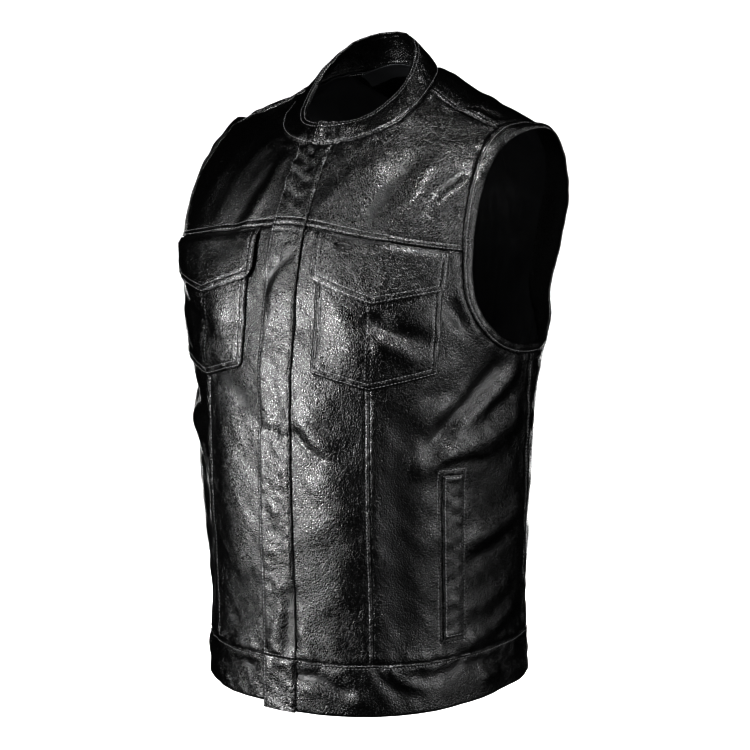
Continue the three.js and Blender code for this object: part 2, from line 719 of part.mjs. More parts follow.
// Chest pockets, puffed a little as if used, and the flaps over their mouths
function chestPockets() {
  const shapes = [
    { piece: "chest_pocket", shape: POCKET, steps: 7, level: 1 },
    { piece: "chest_flap", shape: FLAP, steps: 4, level: 2 },
  ];
  for (const { piece, shape, steps, level } of shapes) {
    const columns = pointedColumns(shape);
    const grid = ruled(
      columns.map((across) => [across, pointedEdge(shape, across)]),
      columns.map((across) => [across, shape.top]),
      steps,
    );
    const puffed = ({ at }) => pocketPuff(at);
    const how = level > 1 ? { level, swell: puffed } : { level, raise: puffed };
    sides((name, side) => add(`${piece}_${name}`, laidOn(handed(grid, side), how)));
  }
}

// Small rim round a slot in the wearer's left flap
function flapSlot() {
  const steps = 16;
  const section = spread(0, TAU, 6);
  const base = 2 * (LAID_GAP + TRIM_WALL) + GAP + SLOT.cord / 2;
  const cord = spread(0, TAU, steps).map((turn) => section.map((round) => {
    const reach = SLOT.cord / 2 * Math.cos(round);
    const across = SLOT.across + (SLOT.long / 2 + reach) * Math.cos(turn);
    const height = SLOT.height + (SLOT.tall / 2 + reach) * Math.sin(turn);
    const { face, out } = clothAt(FRONT, [across, height]);
    const lift = base + pocketPuff([across, height]);
    return face.addScaledVector(out, lift + (SLOT.cord / 2) * Math.sin(round));
  }));
  add("flap_slot_rim", closedTube(cord), DARK_LEATHER);
}

// A tube closed on itself, from loops of points whose last equals their first
function closedTube(loops) {
  const around = loops.length - 1;
  const sectionSteps = loops[0].length - 1;
  const points = loops.slice(0, around).flatMap((row) => row.slice(0, sectionSteps));
  const index = (i, j) => (i % around) * sectionSteps + (j % sectionSteps);
  const triangles = [];
  for (let i = 0; i < around; i += 1) {
    for (let j = 0; j < sectionSteps; j += 1) {
      const [a, b, c, d] = [index(i, j), index(i, j + 1), index(i + 1, j + 1), index(i + 1, j)];
      triangles.push(a, c, b, a, d, c);
    }
  }
  const geometry = new THREE.BufferGeometry();
  const values = points.flatMap((point) => point.toArray());
  geometry.setAttribute("position", new THREE.Float32BufferAttribute(values, 3));
  geometry.setIndex(triangles);
  return geometry;
}

// Upright pocket welts low on the front sides, with their mouths at the outer edge
function welts() {
  const columns = spread(WELT.inner, WELT.outer, 3);
  const grid = spread(WELT.bottom, WELT.top, 14).map((height) => columns.map((across) => [across, height]));
  const wide = WELT.outer - WELT.inner;
  const raise = ({ at: [across] }) => WELT.lip * ((Math.abs(across) - WELT.inner) / wide) ** 2;
  sides((name, side) => add(`welt_pocket_${name}`, laidOn(handed(grid, side), { raise })));
}

// Strips that bind the armholes, from the open rim to the seam on the panels
function armholeBands() {
  const turns = [0, 1, 2, 3].flatMap((i) => between(i).slice(i ? 1 : 0));
  const rows = [0, ARMHOLE_BAND / 2, ARMHOLE_BAND].map((grow) => turns.map((turn) => {
    const { y, z } = armholeAt(turn, grow);
    const behind = turn > AT_SIDE && !isAhead(y, z);
    return { chart: behind ? BACK : FRONT, place: sidePlace(y, z, behind) };
  }));
  sides((name, side) => {
    const onSide = ({ chart, place }) => clothAt(chart, [side * place[0], place[1]]);
    const grid = rows.map((row) => row.map(onSide));
    add(`armhole_band_${name}`, wallFrom([grid], { lift: BAND_RAISE, wall: BAND_WALL }));
  });
}

// Whether a place on the armhole lies in front of the shoulder ridge
function isAhead(y, z) {
  return z > CHEST + ARMHOLE.up / 2 && y <= ridge(fromTable(SECTIONS, "half", CHEST)).y;
}

const TURN_STEP = 0.02; // turn over which the collar's direction is measured

// Point of the collar's outer face at a turn round the neck and a share of its height
function collarPoint(turn, share) {
  const { y } = neckPlan(NECKLINE, turn);
  const behind = y > ridge(neckPlan(NECKLINE, turn).x).y;
  const seat = clothAt(behind ? BACK : FRONT, neckPlace(turn, behind, -COLLAR.gap)).face;
  const rim = neckPlan(RIM, turn);
  const c = Math.cos(turn);
  const height = RIM_HEIGHT.side - RIM_HEIGHT.tilt * c + RIM_HEIGHT.bow * c * c + RIM_HEIGHT.dip * c ** 3;
  return seat.lerp(new THREE.Vector3(rim.x + RIM.shift, rim.y, height), share);
}

// Stand collar: its wearer's left end laps over the right one at the centre front
function collar() {
  const ahead = spread(0, AT_NECK, NECK_STEPS.front);
  const half = [...ahead, ...spread(AT_NECK, Math.PI, NECK_STEPS.back / 2).slice(1)];
  const whole = [...half, ...half.slice(0, -1).reverse().map((turn) => TAU - turn)];
  const turns = [-COLLAR.lap / NECKLINE.forward, ...whole, TAU + COLLAR.under / NECKLINE.forward];
  const grid = spread(0, 1, 4).map((share) => turns.map((turn) => {
    const along = collarPoint(turn + TURN_STEP, share).sub(collarPoint(turn - TURN_STEP, share));
    const up = collarPoint(turn, 1).sub(collarPoint(turn, 0));
    const out = along.cross(up).normalize();
    const lapped = clamp(1 - turn / LAP_TURN, 0, 1) ** 2 * COLLAR.step;
    const bowed = COLLAR.bow * Math.sin(Math.PI * share);
    return { face: collarPoint(turn, share).addScaledVector(out, lapped + bowed), out };
  }));
  add("collar", wallFrom([grid], { wall: COLLAR.wall }));
}

// Pieces inside the back of the neck: a leather facing and a bare patch sewn on it
function neckInside() {
  const under = WALL + GAP + LINING + INSIDE_GAP;
  const facing = spread(-1, 1, 14).map((share) => {
    const across = share * FACING.half;
    const turn = turnWhere((t) => neckPlan(NECKLINE, t).x < Math.abs(across), QUARTER, Math.PI);
    const top = neckPlace(turn, true)[1] - FACING.below;
    return { across, top, bottom: top - FACING.deep * (1 - FACING.narrow * share * share) };
  });
  const grid = ruled(facing.map((f) => [f.across, f.bottom]), facing.map((f) => [f.across, f.top]), 4);
  add("back_neck_facing", wallFrom([onChart(BACK, grid)], { lift: -under, wall: FACING.wall }));
  const columns = spread(-PATCH.half, PATCH.half, 10);
  const patch = spread(PATCH.bottom, PATCH.top, 2).map((height) => columns.map((x) => [x, height]));
  const deeper = under + FACING.wall + LAID_GAP;
  add("neck_patch", wallFrom([onChart(BACK, patch)], { lift: -deeper, wall: PATCH.wall }), SATIN);
}

frontCentres();
frontSides();
frontYokes();
backPanel();
hemBands();
placket();
chestPockets();
flapSlot();
welts();
armholeBands();
collar();
neckInside();

vest.position.z = -NECK_POINT;
export default vest;
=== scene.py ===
"""Leather vest in its worn shape: grained leather panels, seams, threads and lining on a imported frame."""

import math

import bpy
import numpy as np
from mathutils import Matrix, Vector


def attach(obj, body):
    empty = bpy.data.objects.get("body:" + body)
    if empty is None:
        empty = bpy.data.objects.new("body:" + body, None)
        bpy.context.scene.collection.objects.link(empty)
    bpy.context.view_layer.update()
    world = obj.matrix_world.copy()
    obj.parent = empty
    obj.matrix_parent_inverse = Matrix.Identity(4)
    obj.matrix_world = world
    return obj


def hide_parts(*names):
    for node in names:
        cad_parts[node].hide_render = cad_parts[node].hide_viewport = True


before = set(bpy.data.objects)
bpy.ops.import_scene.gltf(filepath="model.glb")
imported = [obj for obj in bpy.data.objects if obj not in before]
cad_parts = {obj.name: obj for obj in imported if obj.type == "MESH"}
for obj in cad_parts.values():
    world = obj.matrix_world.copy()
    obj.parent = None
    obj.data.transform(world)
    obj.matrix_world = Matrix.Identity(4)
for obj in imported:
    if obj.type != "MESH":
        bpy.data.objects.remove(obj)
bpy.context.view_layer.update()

bl_info = {
    "name": "Leather vest",
    "version": (1, 0, 0),
    "blender": (4, 5, 0),
    "location": "View3D > Sidebar > Vest",
    "description": "Makes the leather, seams, threads and lining of a sleeveless leather vest",
    "category": "Object",
}

TAU = math.tau
QUARTER = math.pi / 2

# Sizes of the garment in millimetres. Heights count from the hem and up the cloth over the shoulders.
NECK_POINT = 617.0
CHEST = 380.0
HEM_BAND = 50.0
HEM_STEP = 3.0
YOKE_SEAM = 464.0
PRINCESS = 99.0
SHOULDER_FORWARD = 45.0
HALF_GAP = 0.15
SKIN = 2.0  # a panel with its lining, as it shows at an edge
TRIM_WALL = 1.5
LINING_DEPTH = 2.7
LINING_WALL = 1.0
HEM_BULGE, TRIM_BULGE = 0.7, 0.5  # how far a piece's rim rounds out

SECTIONS = {
    "height": [0, 90, 200, 300, 345, CHEST],
    "half": [159, 158, 166, 174, 181, 190],
    "front": [187, 187, 192, 192, 191, 185],
    "back": [139, 126, 114, 109, 110, 111],
}
FRONT_ROUND = 2.4
BACK_ROUND = 2.1
RIDGE = {"slope": 0.46, "round": 30, "neck": 78, "y": 14, "forward": 7, "reach": 200}
CAP_FRONT = {"rise": 2, "lie": 1.35, "lie_out": 0.53}
CAP_BACK = {"rise": 2.5, "lie": 2.5, "lie_out": 0}
TAPE_AT = 110
SWELL = {"from": 350, "out": 18, "back": 8, "lean": 1.3, "middle": 0.5}
SIDE_SEAM = {"height": [0, 80, 150, 250, 347], "round": [334, 328, 311, 301, 294]}
ARMHOLE = {
    "height": 425, "up": 146, "down": 68, "forward": 100, "back": 62, "pointed": 1.85, "blunt": 2.25,
}
ARMHOLE_BAND = 10.0
NECKLINE = {"side": 78, "middle": -52, "forward": 66, "back": 102, "round": 2.08}
RIM = {"side": 54, "middle": -36, "forward": 67.5, "back": 63.5, "round": 1.8, "shift": -3}
RIM_HEIGHT = {"side": 616.5, "tilt": 56.8, "bow": 3.6, "dip": 11.5}
COLLAR = {"wall": 2.4, "bow": 1.5, "lap": 5, "under": 3, "step": 2.8, "gap": 0.6, "settled": 0.28}
PLACKET = 19.0
FLAP = {"inner": 34, "outer": 167, "top": 462, "side": 421, "point": 404, "round": 9}
POCKET = {"inner": 41, "outer": 165, "top": 446, "side": 338, "point": 323, "round": 6, "puff": 4}
SLOT = {"across": 64.5, "height": 453, "long": 18, "tall": 5, "cord": 1.5}
WELT = {"inner": 173, "outer": 194, "bottom": 71, "top": 237}
FACING = {"half": 57, "deep": 50, "narrow": 0.55, "below": 1.2}
PATCH = {"half": 48, "bottom": 600, "top": 624}
SIDES = (("left", 1), ("right", -1))  # of the wearer

# Lines of stitches, as distance from the edge or seam that they follow
SEAM_LINE = 3.2
DOUBLE_LINES = (1.8, 6.2)
POCKET_LINES = (2.0, 6.8)
FRONT_EDGE_LINE = 2.6
RIM_LINES = (2.2, 6.4)
WELT_LINE = 2.2
WELT_FRAME = 5.4
BAND_LINE = 7.4

# How high above the cloth the pieces laid on it lie
POCKET_LIFT, FLAP_LIFT, PLACKET_LIFT = 2.6, 5.2, 2.8
COLLAR_REACH = 74  # about how far it is along the collar for each radian round it
COLLAR_TALL = 52  # and about its height

# Folds and creases. Each row holds where it starts and ends, as distance from the centre and height,
# its half width, how far it stands out (a trough is minus), and how far it bows aside.
FRONT_FOLDS = [
    (150, 254, 268, 283, 16, 5.5, 5),
    (160, 264, 236, 335, 11, -5.0, -4),
    (194, 288, 262, 330, 10, 3.5, 3),
    (152, 294, 190, 311, 12, 2.4, 0),
    (158, 314, 182, 315, 8, -1.6, 0),
    (262, 304, 236, 296, 8, -2.4, 0),
    (178, 402, 186, 388, 9, -3.4, 0),
    (131, 278, 128, 90, 17, -3.5, 4),
    (38, 300, 70, 190, 26, 3.0, 0),
    (216, 168, 282, 184, 13, 3.6, 3),
    (212, 146, 262, 158, 10, -2.2, 0),
    (214, 64, 272, 80, 10, 3.2, 2),
    (208, 96, 264, 108, 12, 2.2, 0),
    (176, 246, 222, 246, 6, -1.8, -3),
    (70, 530, 30, 466, 11, 2.6, 4),
    (53, 506, 34, 474, 7, -1.6, 0),
    (126, 548, 107, 478, 12, 2.8, -5),
    (102, 536, 84, 482, 11, -2.0, 3),
    (176, 552, 147, 508, 9, 2.0, 3),
    (154, 552, 132, 504, 8, -1.6, 0),
    (6, 436, -15, 414, 6, -2.2, 3),
    (-16, 414, -15, 392, 5, -1.3, 0),
    (-7, 404, -7, 286, 8, 1.1, 2),
    (-14, 283, 4, 276, 5, -1.4, 1),
    (26, 276, 50, 256, 6, -2.2, 2),
    (34, 288, 56, 268, 8, 1.3, 0),
    (15, 116, 15, 64, 7, -2.0, 2),
    (26, 76, 36, 49, 7, 1.8, -2),
    (4, 96, -4, 62, 8, 1.8, 3),
    (-17, 545, -6, 538, 2.6, 1.5, 1),
    (-4, 541, 9, 533, 2.4, 1.3, 0),
    (-17, 539, -1, 529, 2.6, -1.5, 1),
    (-15, 532, 6, 521, 2.8, 1.7, 1),
    (4, 530, 15, 524, 2.4, 1.1, -1),
    (-14, 525, 4, 514, 2.6, -1.6, 0),
    (-16, 519, 5, 507, 2.8, 1.7, -1),
    (-12, 510, 8, 500, 2.7, -1.4, 0),
    (-16, 504, 1, 492, 3.0, 1.5, 1),
    (-13, 494, 7, 484, 2.8, -1.2, 0),
    (-10, 486, 6, 477, 2.8, 1.1, 0),
    (24, 548, 52, 520, 4, 1.3, 2),
    (22, 538, 44, 512, 4, -1.2, 2),
    (88, 160, 62, 108, 14, 1.5, 5),
    (60, 96, 78, 64, 9, -1.4, -3),
    (104, 44, 126, 22, 6, -2.4, 2),
    (114, 46, 138, 28, 6, 1.8, 2),
    (28, 34, 70, 22, 6, -2.6, -3),
    (34, 22, 84, 14, 6, 1.6, 0),
    (150, 34, 196, 40, 7, -1.8, 3),
    (212, 38, 262, 26, 7, -2.0, -3),
    (232, 20, 284, 34, 7, 1.6, 2),
    (-152, 268, -252, 304, 17, 5.0, -6),
    (-150, 300, -224, 334, 12, -4.4, 3),
    (-34, 520, -54, 468, 9, 2.4, -3),
    (-48, 516, -70, 474, 8, -1.8, 0),
    (-70, 544, -92, 486, 11, 2.4, 4),
    (-108, 560, -118, 500, 12, 1.8, -4),
    (-128, 222, -132, 96, 18, -3.0, -4),
    (-60, 262, -46, 152, 22, 2.8, 5),
    (-84, 330, -40, 306, 12, -2.2, -4),
    (-212, 150, -266, 182, 14, 3.4, 4),
    (-176, 246, -230, 240, 8, -2.2, 3),
    (-40, 96, -72, 60, 9, -1.8, 3),
    (-36, 36, -84, 22, 7, -2.2, 3),
    (-120, 24, -166, 38, 7, 1.8, -2),
    (-200, 32, -262, 26, 8, -1.8, 2),
]
BACK_FOLDS = [
    (-150, 300, -40, 252, 18, 4.5, 6),
    (-60, 226, 96, 214, 17, -4.0, 7),
    (152, 322, 52, 272, 18, 5.0, -6),
    (30, 182, 150, 150, 16, 3.5, 5),
    (-128, 168, -30, 140, 15, 3.0, -5),
    (-112, 520, -86, 400, 22, -3.5, 5),
    (118, 530, 92, 392, 22, -4.0, -5),
    (6, 560, -4, 430, 26, -3.0, 4),
    (-172, 336, -118, 292, 9, -2.4, 3),
    (176, 338, 128, 300, 9, -2.6, -3),
    (-92, 268, -20, 250, 9, -1.8, -4),
    (40, 250, 112, 262, 10, 1.8, 4),
    (-20, 196, 44, 186, 9, 1.6, 3),
    (84, 118, 140, 96, 11, -2.0, 3),
    (-140, 112, -84, 86, 11, -1.8, -3),
    (-24, 92, 18, 66, 9, 1.5, 2),
    (-70, 618, -44, 560, 9, 1.8, 4),
    (62, 616, 36, 556, 9, 2.0, -4),
    (-128, 664, -98, 610, 10, 1.6, 3),
    (126, 668, 104, 612, 9, 1.8, -3),
    (92, 700, 134, 676, 5, 1.6, 2),
    (96, 690, 150, 662, 5, -1.4, 2),
    (-96, 698, -140, 672, 5, 1.5, -2),
    (-60, 34, -104, 18, 7, -1.8, 2),
    (30, 38, 80, 22, 7, -2.0, -2),
    (112, 24, 150, 36, 7, 1.6, 2),
]
POCKET_FOLDS = [
    (106, 386, 164, 368, 9, -8.0, 3),
    (112, 368, 158, 344, 10, 4.2, -2),
    (60, 404, 84, 350, 14, 2.0, 0),
    (-150, 396, -96, 372, 12, -3.5, 3),
    (-76, 396, -60, 346, 13, 2.5, 0),
]


def mix(a, b, share):
    return a + (b - a) * share


def arc_of(points):
    """Length from the start of a line to each of its points."""
    return np.concatenate([[0], np.cumsum(np.linalg.norm(np.diff(points, axis=0), axis=1))])


def from_table(table, key, height):
    """Column of a table at some heights, on a smooth curve through its rows."""
    heights = np.array(table["height"], float)
    values = np.array(table[key], float)
    last = len(heights) - 1
    at = np.clip(height, heights[0], heights[last])
    i = np.clip(np.searchsorted(heights, at, side="right") - 1, 0, last - 1)
    low = np.maximum(np.arange(last + 1) - 1, 0)
    high = np.minimum(np.arange(last + 1) + 1, last)
    slope = (values[high] - values[low]) / (heights[high] - heights[low])
    step = heights[i + 1] - heights[i]
    t = (at - heights[i]) / step
    line = mix(values[i], values[i + 1], (3 - 2 * t) * t * t)
    return line + step * (t * (1 - t) ** 2 * slope[i] - t * t * (1 - t) * slope[i + 1])


RING_STEP = 2.0
RING_SHARES = 1200


def ring_tables():
    """Plan rings of the body at even heights, by share of the way from centre front to centre back."""
    turn = np.linspace(0, math.pi, 1441)
    ahead = np.cos(turn) >= 0
    power = np.where(ahead, FRONT_ROUND, BACK_ROUND)
    rows = []
    for height in np.arange(0, CHEST + 1, RING_STEP):
        half, front, back = (from_table(SECTIONS, key, height) for key in ("half", "front", "back"))
        across = np.abs(np.sin(turn)) / half
        along = np.abs(np.cos(turn)) / np.where(ahead, front, back)
        r = (across**power + along**power) ** (-1 / power)
        x, y = r * np.sin(turn), -r * np.cos(turn)
        arc = np.concatenate([[0], np.cumsum(np.hypot(np.diff(x), np.diff(y)))])
        shares = np.linspace(0, arc[-1], RING_SHARES + 1)
        rows.append((np.interp(shares, arc, x), np.interp(shares, arc, y), arc[-1]))
    return [np.array(column) for column in zip(*rows)]


RING_X, RING_Y, GIRTHS = ring_tables()


def girth(height):
    return np.interp(height, np.arange(len(GIRTHS)) * RING_STEP, GIRTHS)


def on_ring(height, arc):
    """Points of the rings by their arc length from the centre front, on the wearer's left."""
    z = np.clip(height, 0, CHEST)
    row = z / RING_STEP
    i = np.minimum(row.astype(int), len(GIRTHS) - 2)
    column = np.clip(arc / girth(z), 0, 1) * RING_SHARES
    j = np.minimum(column.astype(int), RING_SHARES - 1)
    u, v = row - i, column - j
    return [
        mix(mix(t[i, j], t[i, j + 1], v), mix(t[i + 1, j], t[i + 1, j + 1], v), u)
        for t in (RING_X, RING_Y)
    ]


def arc_at_y(height, y):
    """Arc length from the centre front at which the rings have those y."""
    low, high = np.zeros(np.shape(y)), girth(height) + np.zeros(np.shape(y))
    for _ in range(36):
        middle = (low + high) / 2
        under = on_ring(height, middle)[1] < y
        low, high = np.where(under, middle, low), np.where(under, high, middle)
    return low


def chest_depth(x, behind):
    half = SECTIONS["half"][-1]
    depth = np.where(behind, SECTIONS["back"][-1], -SECTIONS["front"][-1])
    power = np.where(behind, BACK_ROUND, FRONT_ROUND)
    return depth * np.maximum(0, 1 - (np.abs(x) / half) ** power) ** (1 / power)


def arc_at_x(x, behind):
    arc = arc_at_y(np.full(np.shape(x), CHEST), chest_depth(x, behind))
    return np.where(behind, girth(CHEST) - arc, arc)


def ridge(x):
    """Depth and height of the shoulder ridge that far out."""
    out = np.hypot(x, RIDGE["round"]) - math.hypot(RIDGE["neck"], RIDGE["round"])
    return RIDGE["y"] - RIDGE["forward"] * np.abs(x) / RIDGE["reach"], NECK_POINT - RIDGE["slope"] * out


def cap_powers(x, behind):
    out = np.abs(x) / RIDGE["reach"]
    rise = np.where(behind, CAP_BACK["rise"], CAP_FRONT["rise"])
    lie = np.where(behind, CAP_BACK["lie"], CAP_FRONT["lie"] + CAP_FRONT["lie_out"] * out)
    return rise, lie


def on_cap(x, depth, turn, behind):
    """Points over the shoulders: turn runs from 0 at the chest to a quarter at the ridge."""
    top_y, top_z = ridge(x)
    rise, lie = cap_powers(x, behind)
    up = np.minimum(np.sin(turn), 1)
    out = (1 - up**rise) ** (1 / lie)
    return np.stack([x + 0 * up, top_y + (depth - top_y) * out, CHEST + (top_z - CHEST) * up], -1)


TAPE_TURNS = np.linspace(0, QUARTER, 481)


def tape_over(behind):
    """Lengths up the cloth over the cap for even steps of turn, where the tape lies."""
    x = np.full(len(TAPE_TURNS), float(TAPE_AT))
    return arc_of(on_cap(x, chest_depth(x, behind), TAPE_TURNS, behind))


TAPE_FRONT, TAPE_BACK = tape_over(False), tape_over(True)
RIDGE_FRONT, RIDGE_BACK = CHEST + TAPE_FRONT[-1], CHEST + TAPE_BACK[-1]
SHOULDER_SEAM = RIDGE_FRONT - SHOULDER_FORWARD
BACK_TOP = RIDGE_BACK + SHOULDER_FORWARD


def front_bare(across, height):
    """The front chart: distance round from the centre front, and height up the cloth."""
    side = np.where(across < 0, -1.0, 1.0)
    x, y = on_ring(np.minimum(height, CHEST), np.abs(across))
    low = np.stack([side * x, y, height + 0 * x], -1)
    turn = np.interp(height - CHEST, TAPE_FRONT, TAPE_TURNS)
    return np.where((height <= CHEST)[..., None], low, on_cap(side * x, y, turn, y > 0))


def back_bare(across, height):
    """The back chart counts from the centre back, and past the ridge it comes down the front."""
    side = np.where(across < 0, -1.0, 1.0)
    low = np.minimum(height, CHEST)
    x, y = on_ring(low, girth(low) - np.abs(across))
    x = side * x
    over = on_cap(x, y, np.interp(height - CHEST, TAPE_BACK, TAPE_TURNS), True)
    bare = np.where((height <= CHEST)[..., None], np.stack([x, y, height + 0 * x], -1), over)
    share = np.clip((height - SWELL["from"]) / (RIDGE_BACK - SWELL["from"]), 0, 1)
    stand = np.sin(math.pi * share ** SWELL["lean"]) ** 2
    sideways = (x / SECTIONS["half"][-1]) ** 2
    bare[..., 0] += side * SWELL["out"] * stand * sideways
    bare[..., 1] += SWELL["back"] * stand * mix(SWELL["middle"], 1, sideways)
    turn = np.interp(TAPE_FRONT[-1] - (height - RIDGE_BACK), TAPE_FRONT, TAPE_TURNS)
    down = on_cap(x, chest_depth(x, False), turn, False)
    return np.where((height > RIDGE_BACK)[..., None], down, bare)


def unit(v):
    return v / np.maximum(np.linalg.norm(v, axis=-1, keepdims=True), 1e-9)


def waves(seed, x, y, length, count=7):
    """Soft uneven waves over two coordinates, about one unit high, from seeded directions."""
    random = np.random.default_rng(seed)
    total = 0
    for _ in range(count):
        turn, phase = random.uniform(0, math.pi), random.uniform(0, TAU)
        long = length * random.uniform(0.6, 1.7)
        total = total + np.sin((x * math.cos(turn) + y * math.sin(turn)) * TAU / long + phase)
    return total / math.sqrt(count)


def folded(folds, across, height):
    """How far the folds in a list lift the cloth."""
    lift = np.zeros(np.shape(across))
    for x0, y0, x1, y1, wide, out, bow in folds:
        run_x, run_y = x1 - x0, y1 - y0
        long = math.hypot(run_x, run_y)
        along = ((across - x0) * run_x + (height - y0) * run_y) / long**2
        bowed = bow * np.sin(math.pi * np.clip(along, 0, 1))
        aside = ((across - x0) * run_y - (height - y0) * run_x) / long - bowed
        past = np.maximum(0, np.maximum(-along, along - 1)) * long
        lift += out * np.exp(-((aside / wide) ** 2) - (past / (wide * 1.3)) ** 2)
    return lift


class Chart:
    """A map from places on the cloth to points, with the folds that lie on it."""

    def __init__(self, bare, folds, turn, seed):
        self.bare, self.folds, self.turn, self.seed = bare, folds, turn, seed

    def outward(self, across, height, step=0.7):
        along = self.bare(across + step, height) - self.bare(across - step, height)
        up = self.bare(across, height + step) - self.bare(across, height - step)
        return unit(np.cross(along, up)) * self.turn

    def side_fade(self, across, height):
        """Folds flatten towards the side seams, where front and back are joined."""
        round_front = from_table(SIDE_SEAM, "round", height)
        seam = round_front if self.turn > 0 else girth(np.minimum(height, CHEST)) - round_front
        near = np.exp(-((np.abs(np.abs(across) - seam) / 15) ** 2))
        return 1 - near * np.clip((360 - height) / 30, 0, 1)

    def relief(self, across, height):
        """Height of the folds and of the soft unevenness between them."""
        slack = 0.42 * waves(self.seed, across, height, 46, 9)
        slack = slack + 0.2 * waves(self.seed + 1, across, height, 21)
        return folded(self.folds, across, height) * self.side_fade(across, height) + slack


FRONT = Chart(front_bare, FRONT_FOLDS, 1, 11)
BACK = Chart(back_bare, BACK_FOLDS, -1, 31)


def mirrored(grid):
    return grid * np.array([-1.0, 1.0])


def handed(grid, side):
    return grid if side > 0 else mirrored(grid)


def armhole_at(turn, grow):
    """Depth and height on the armhole's outline, at a turn from straight up towards the front."""
    sine, cosine = np.sin(turn), np.cos(turn)
    high = cosine >= 0
    power = np.where(high, ARMHOLE["pointed"], ARMHOLE["blunt"])
    r = (np.abs(sine) ** power + np.abs(cosine) ** power) ** (-1 / power)
    reach_y = np.where(sine >= 0, ARMHOLE["forward"], ARMHOLE["back"]) + grow
    reach_z = np.where(high, ARMHOLE["up"], ARMHOLE["down"]) + grow
    return -r * sine * reach_y, ARMHOLE["height"] + r * cosine * reach_z


def place_over(x, turn, past, behind):
    """Places over the shoulder in either chart; past says that they lie behind the ridge."""
    front = np.interp(turn, TAPE_TURNS, TAPE_FRONT)
    if not behind:
        return np.stack([arc_at_x(x, False), CHEST + front], -1)
    back = np.interp(turn, TAPE_TURNS, TAPE_BACK)
    height = np.where(past, CHEST + back, RIDGE_BACK + TAPE_FRONT[-1] - front)
    return np.stack([arc_at_x(x, True), height], -1)


def side_place(y, z, behind):
    """Places on the wearer's left side of the cloth with that depth and height."""
    arc = arc_at_y(np.minimum(z, CHEST), y)
    low_place = np.stack([girth(z) - arc if behind else arc, z], -1)
    low, high = np.zeros(np.shape(y)), np.full(np.shape(y), float(SECTIONS["half"][-1]))
    turn = low
    for _ in range(44):
        x = (low + high) / 2
        top_y, top_z = ridge(x)
        past = y > top_y
        rise, lie = cap_powers(x, past)
        up = np.clip((z - CHEST) / (top_z - CHEST), 0, 2)
        out = np.abs((y - top_y) / (chest_depth(x, past) - top_y + 1e-9))
        turn = np.arcsin(np.minimum(up, 1))
        inside = up**rise + out**lie < 1
        low, high = np.where(inside, x, low), np.where(inside, high, x)
    over = place_over(low, turn, y > ridge(low)[0], behind)
    return np.where((z <= CHEST)[..., None], low_place, over)


def neck_plan(shape, turn):
    sine, cosine = np.sin(turn), np.cos(turn)
    r = (np.abs(sine) ** shape["round"] + np.abs(cosine) ** shape["round"]) ** (-1 / shape["round"])
    depth = np.where(cosine >= 0, shape["forward"], shape["back"])
    return shape["side"] * r * sine, shape["middle"] - depth * r * cosine


def neck_place(turn, behind, grow=0.0):
    """Neckline places at turns from the centre front towards the wearer's left."""
    shape = dict(NECKLINE)
    for key in ("side", "forward", "back"):
        shape[key] += grow
    x, y = neck_plan(shape, turn)
    top_y, _ = ridge(x)
    past = y > top_y
    out = np.clip(np.abs((y - top_y) / (chest_depth(x, past) - top_y)), 0, 1)
    rise, lie = cap_powers(x, past)
    place = place_over(np.abs(x), np.arcsin((1 - out**lie) ** (1 / rise)), past, behind)
    place[..., 0] *= np.sign(x)
    return place


def turn_where(test, start, end):
    """Turn at which a test on a place passes from no to yes."""
    for _ in range(40):
        middle = (start + end) / 2
        if test(np.array([middle])):
            end = middle
        else:
            start = middle
    return end


def seam_place(turn, behind, grow=ARMHOLE_BAND):
    return side_place(*armhole_at(np.asarray(turn, float), grow), behind)


BACK_SPLIT = 452.0
AT_SHOULDER = turn_where(lambda t: seam_place(t, False)[0, 1] < SHOULDER_SEAM, 0.02, QUARTER)
AT_YOKE = turn_where(lambda t: seam_place(t, False)[0, 1] < YOKE_SEAM, 0.2, math.pi * 0.6)


def beyond_side(turn):
    y, z = armhole_at(turn, ARMHOLE_BAND)
    return (arc_at_y(z, y) > from_table(SIDE_SEAM, "round", z))[0]


AT_SIDE = turn_where(beyond_side, math.pi * 0.7, math.pi * 1.2)
AT_SPLIT = turn_where(lambda t: seam_place(t, True)[0, 1] > BACK_SPLIT, math.pi * 1.2, math.pi * 1.6)
AT_NECK = turn_where(lambda t: neck_place(t, False)[0, 1] > SHOULDER_SEAM, 0.4, math.pi * 0.7)


def side_seam(height, behind=False):
    arc = from_table(SIDE_SEAM, "round", height)
    return (girth(height) - arc if behind else arc) - HALF_GAP


def hem_edge(across):
    """Height of the fronts' lower edge: the wearer's left one hangs a little lower at the opening."""
    reach = np.clip(1 - np.abs(across) / SIDE_SEAM["round"][0], 0, 1)
    return -np.sign(across) * HEM_STEP * reach**2


RIDGE_TURN = TAU - 0.13  # where the armhole's rim passes the shoulder ridge
SIDE_BLEND, RIDGE_BLEND, NECK_BLEND = 0.06, 0.05, 6  # how softly one chart's relief passes into the other's


def armhole_chart(turn, grow):
    """Whether places on the wearer's left armhole belong to the back chart."""
    y, z = armhole_at(turn, grow)
    ahead = (z > CHEST + ARMHOLE["up"] / 2) & (y <= ridge(SECTIONS["half"][-1])[0])
    return (turn > AT_SIDE) & ~ahead


def on_charts(place_of, behind):
    """Bare points and outward directions on the front chart, or on the back one where behind says so.

    The relief comes for each chart by itself. The first argument gives the places in the front or back chart.
    """
    found = []
    for chart, back in ((FRONT, False), (BACK, True)):
        place = place_of(back)
        across, height = place[..., 0], place[..., 1]
        found.append([kind(across, height) for kind in (chart.bare, chart.outward, chart.relief)])
    ahead, past = found
    bare, out = (np.where(behind[..., None], past[k], ahead[k]) for k in (0, 1))
    return bare, out, ahead[2], past[2]


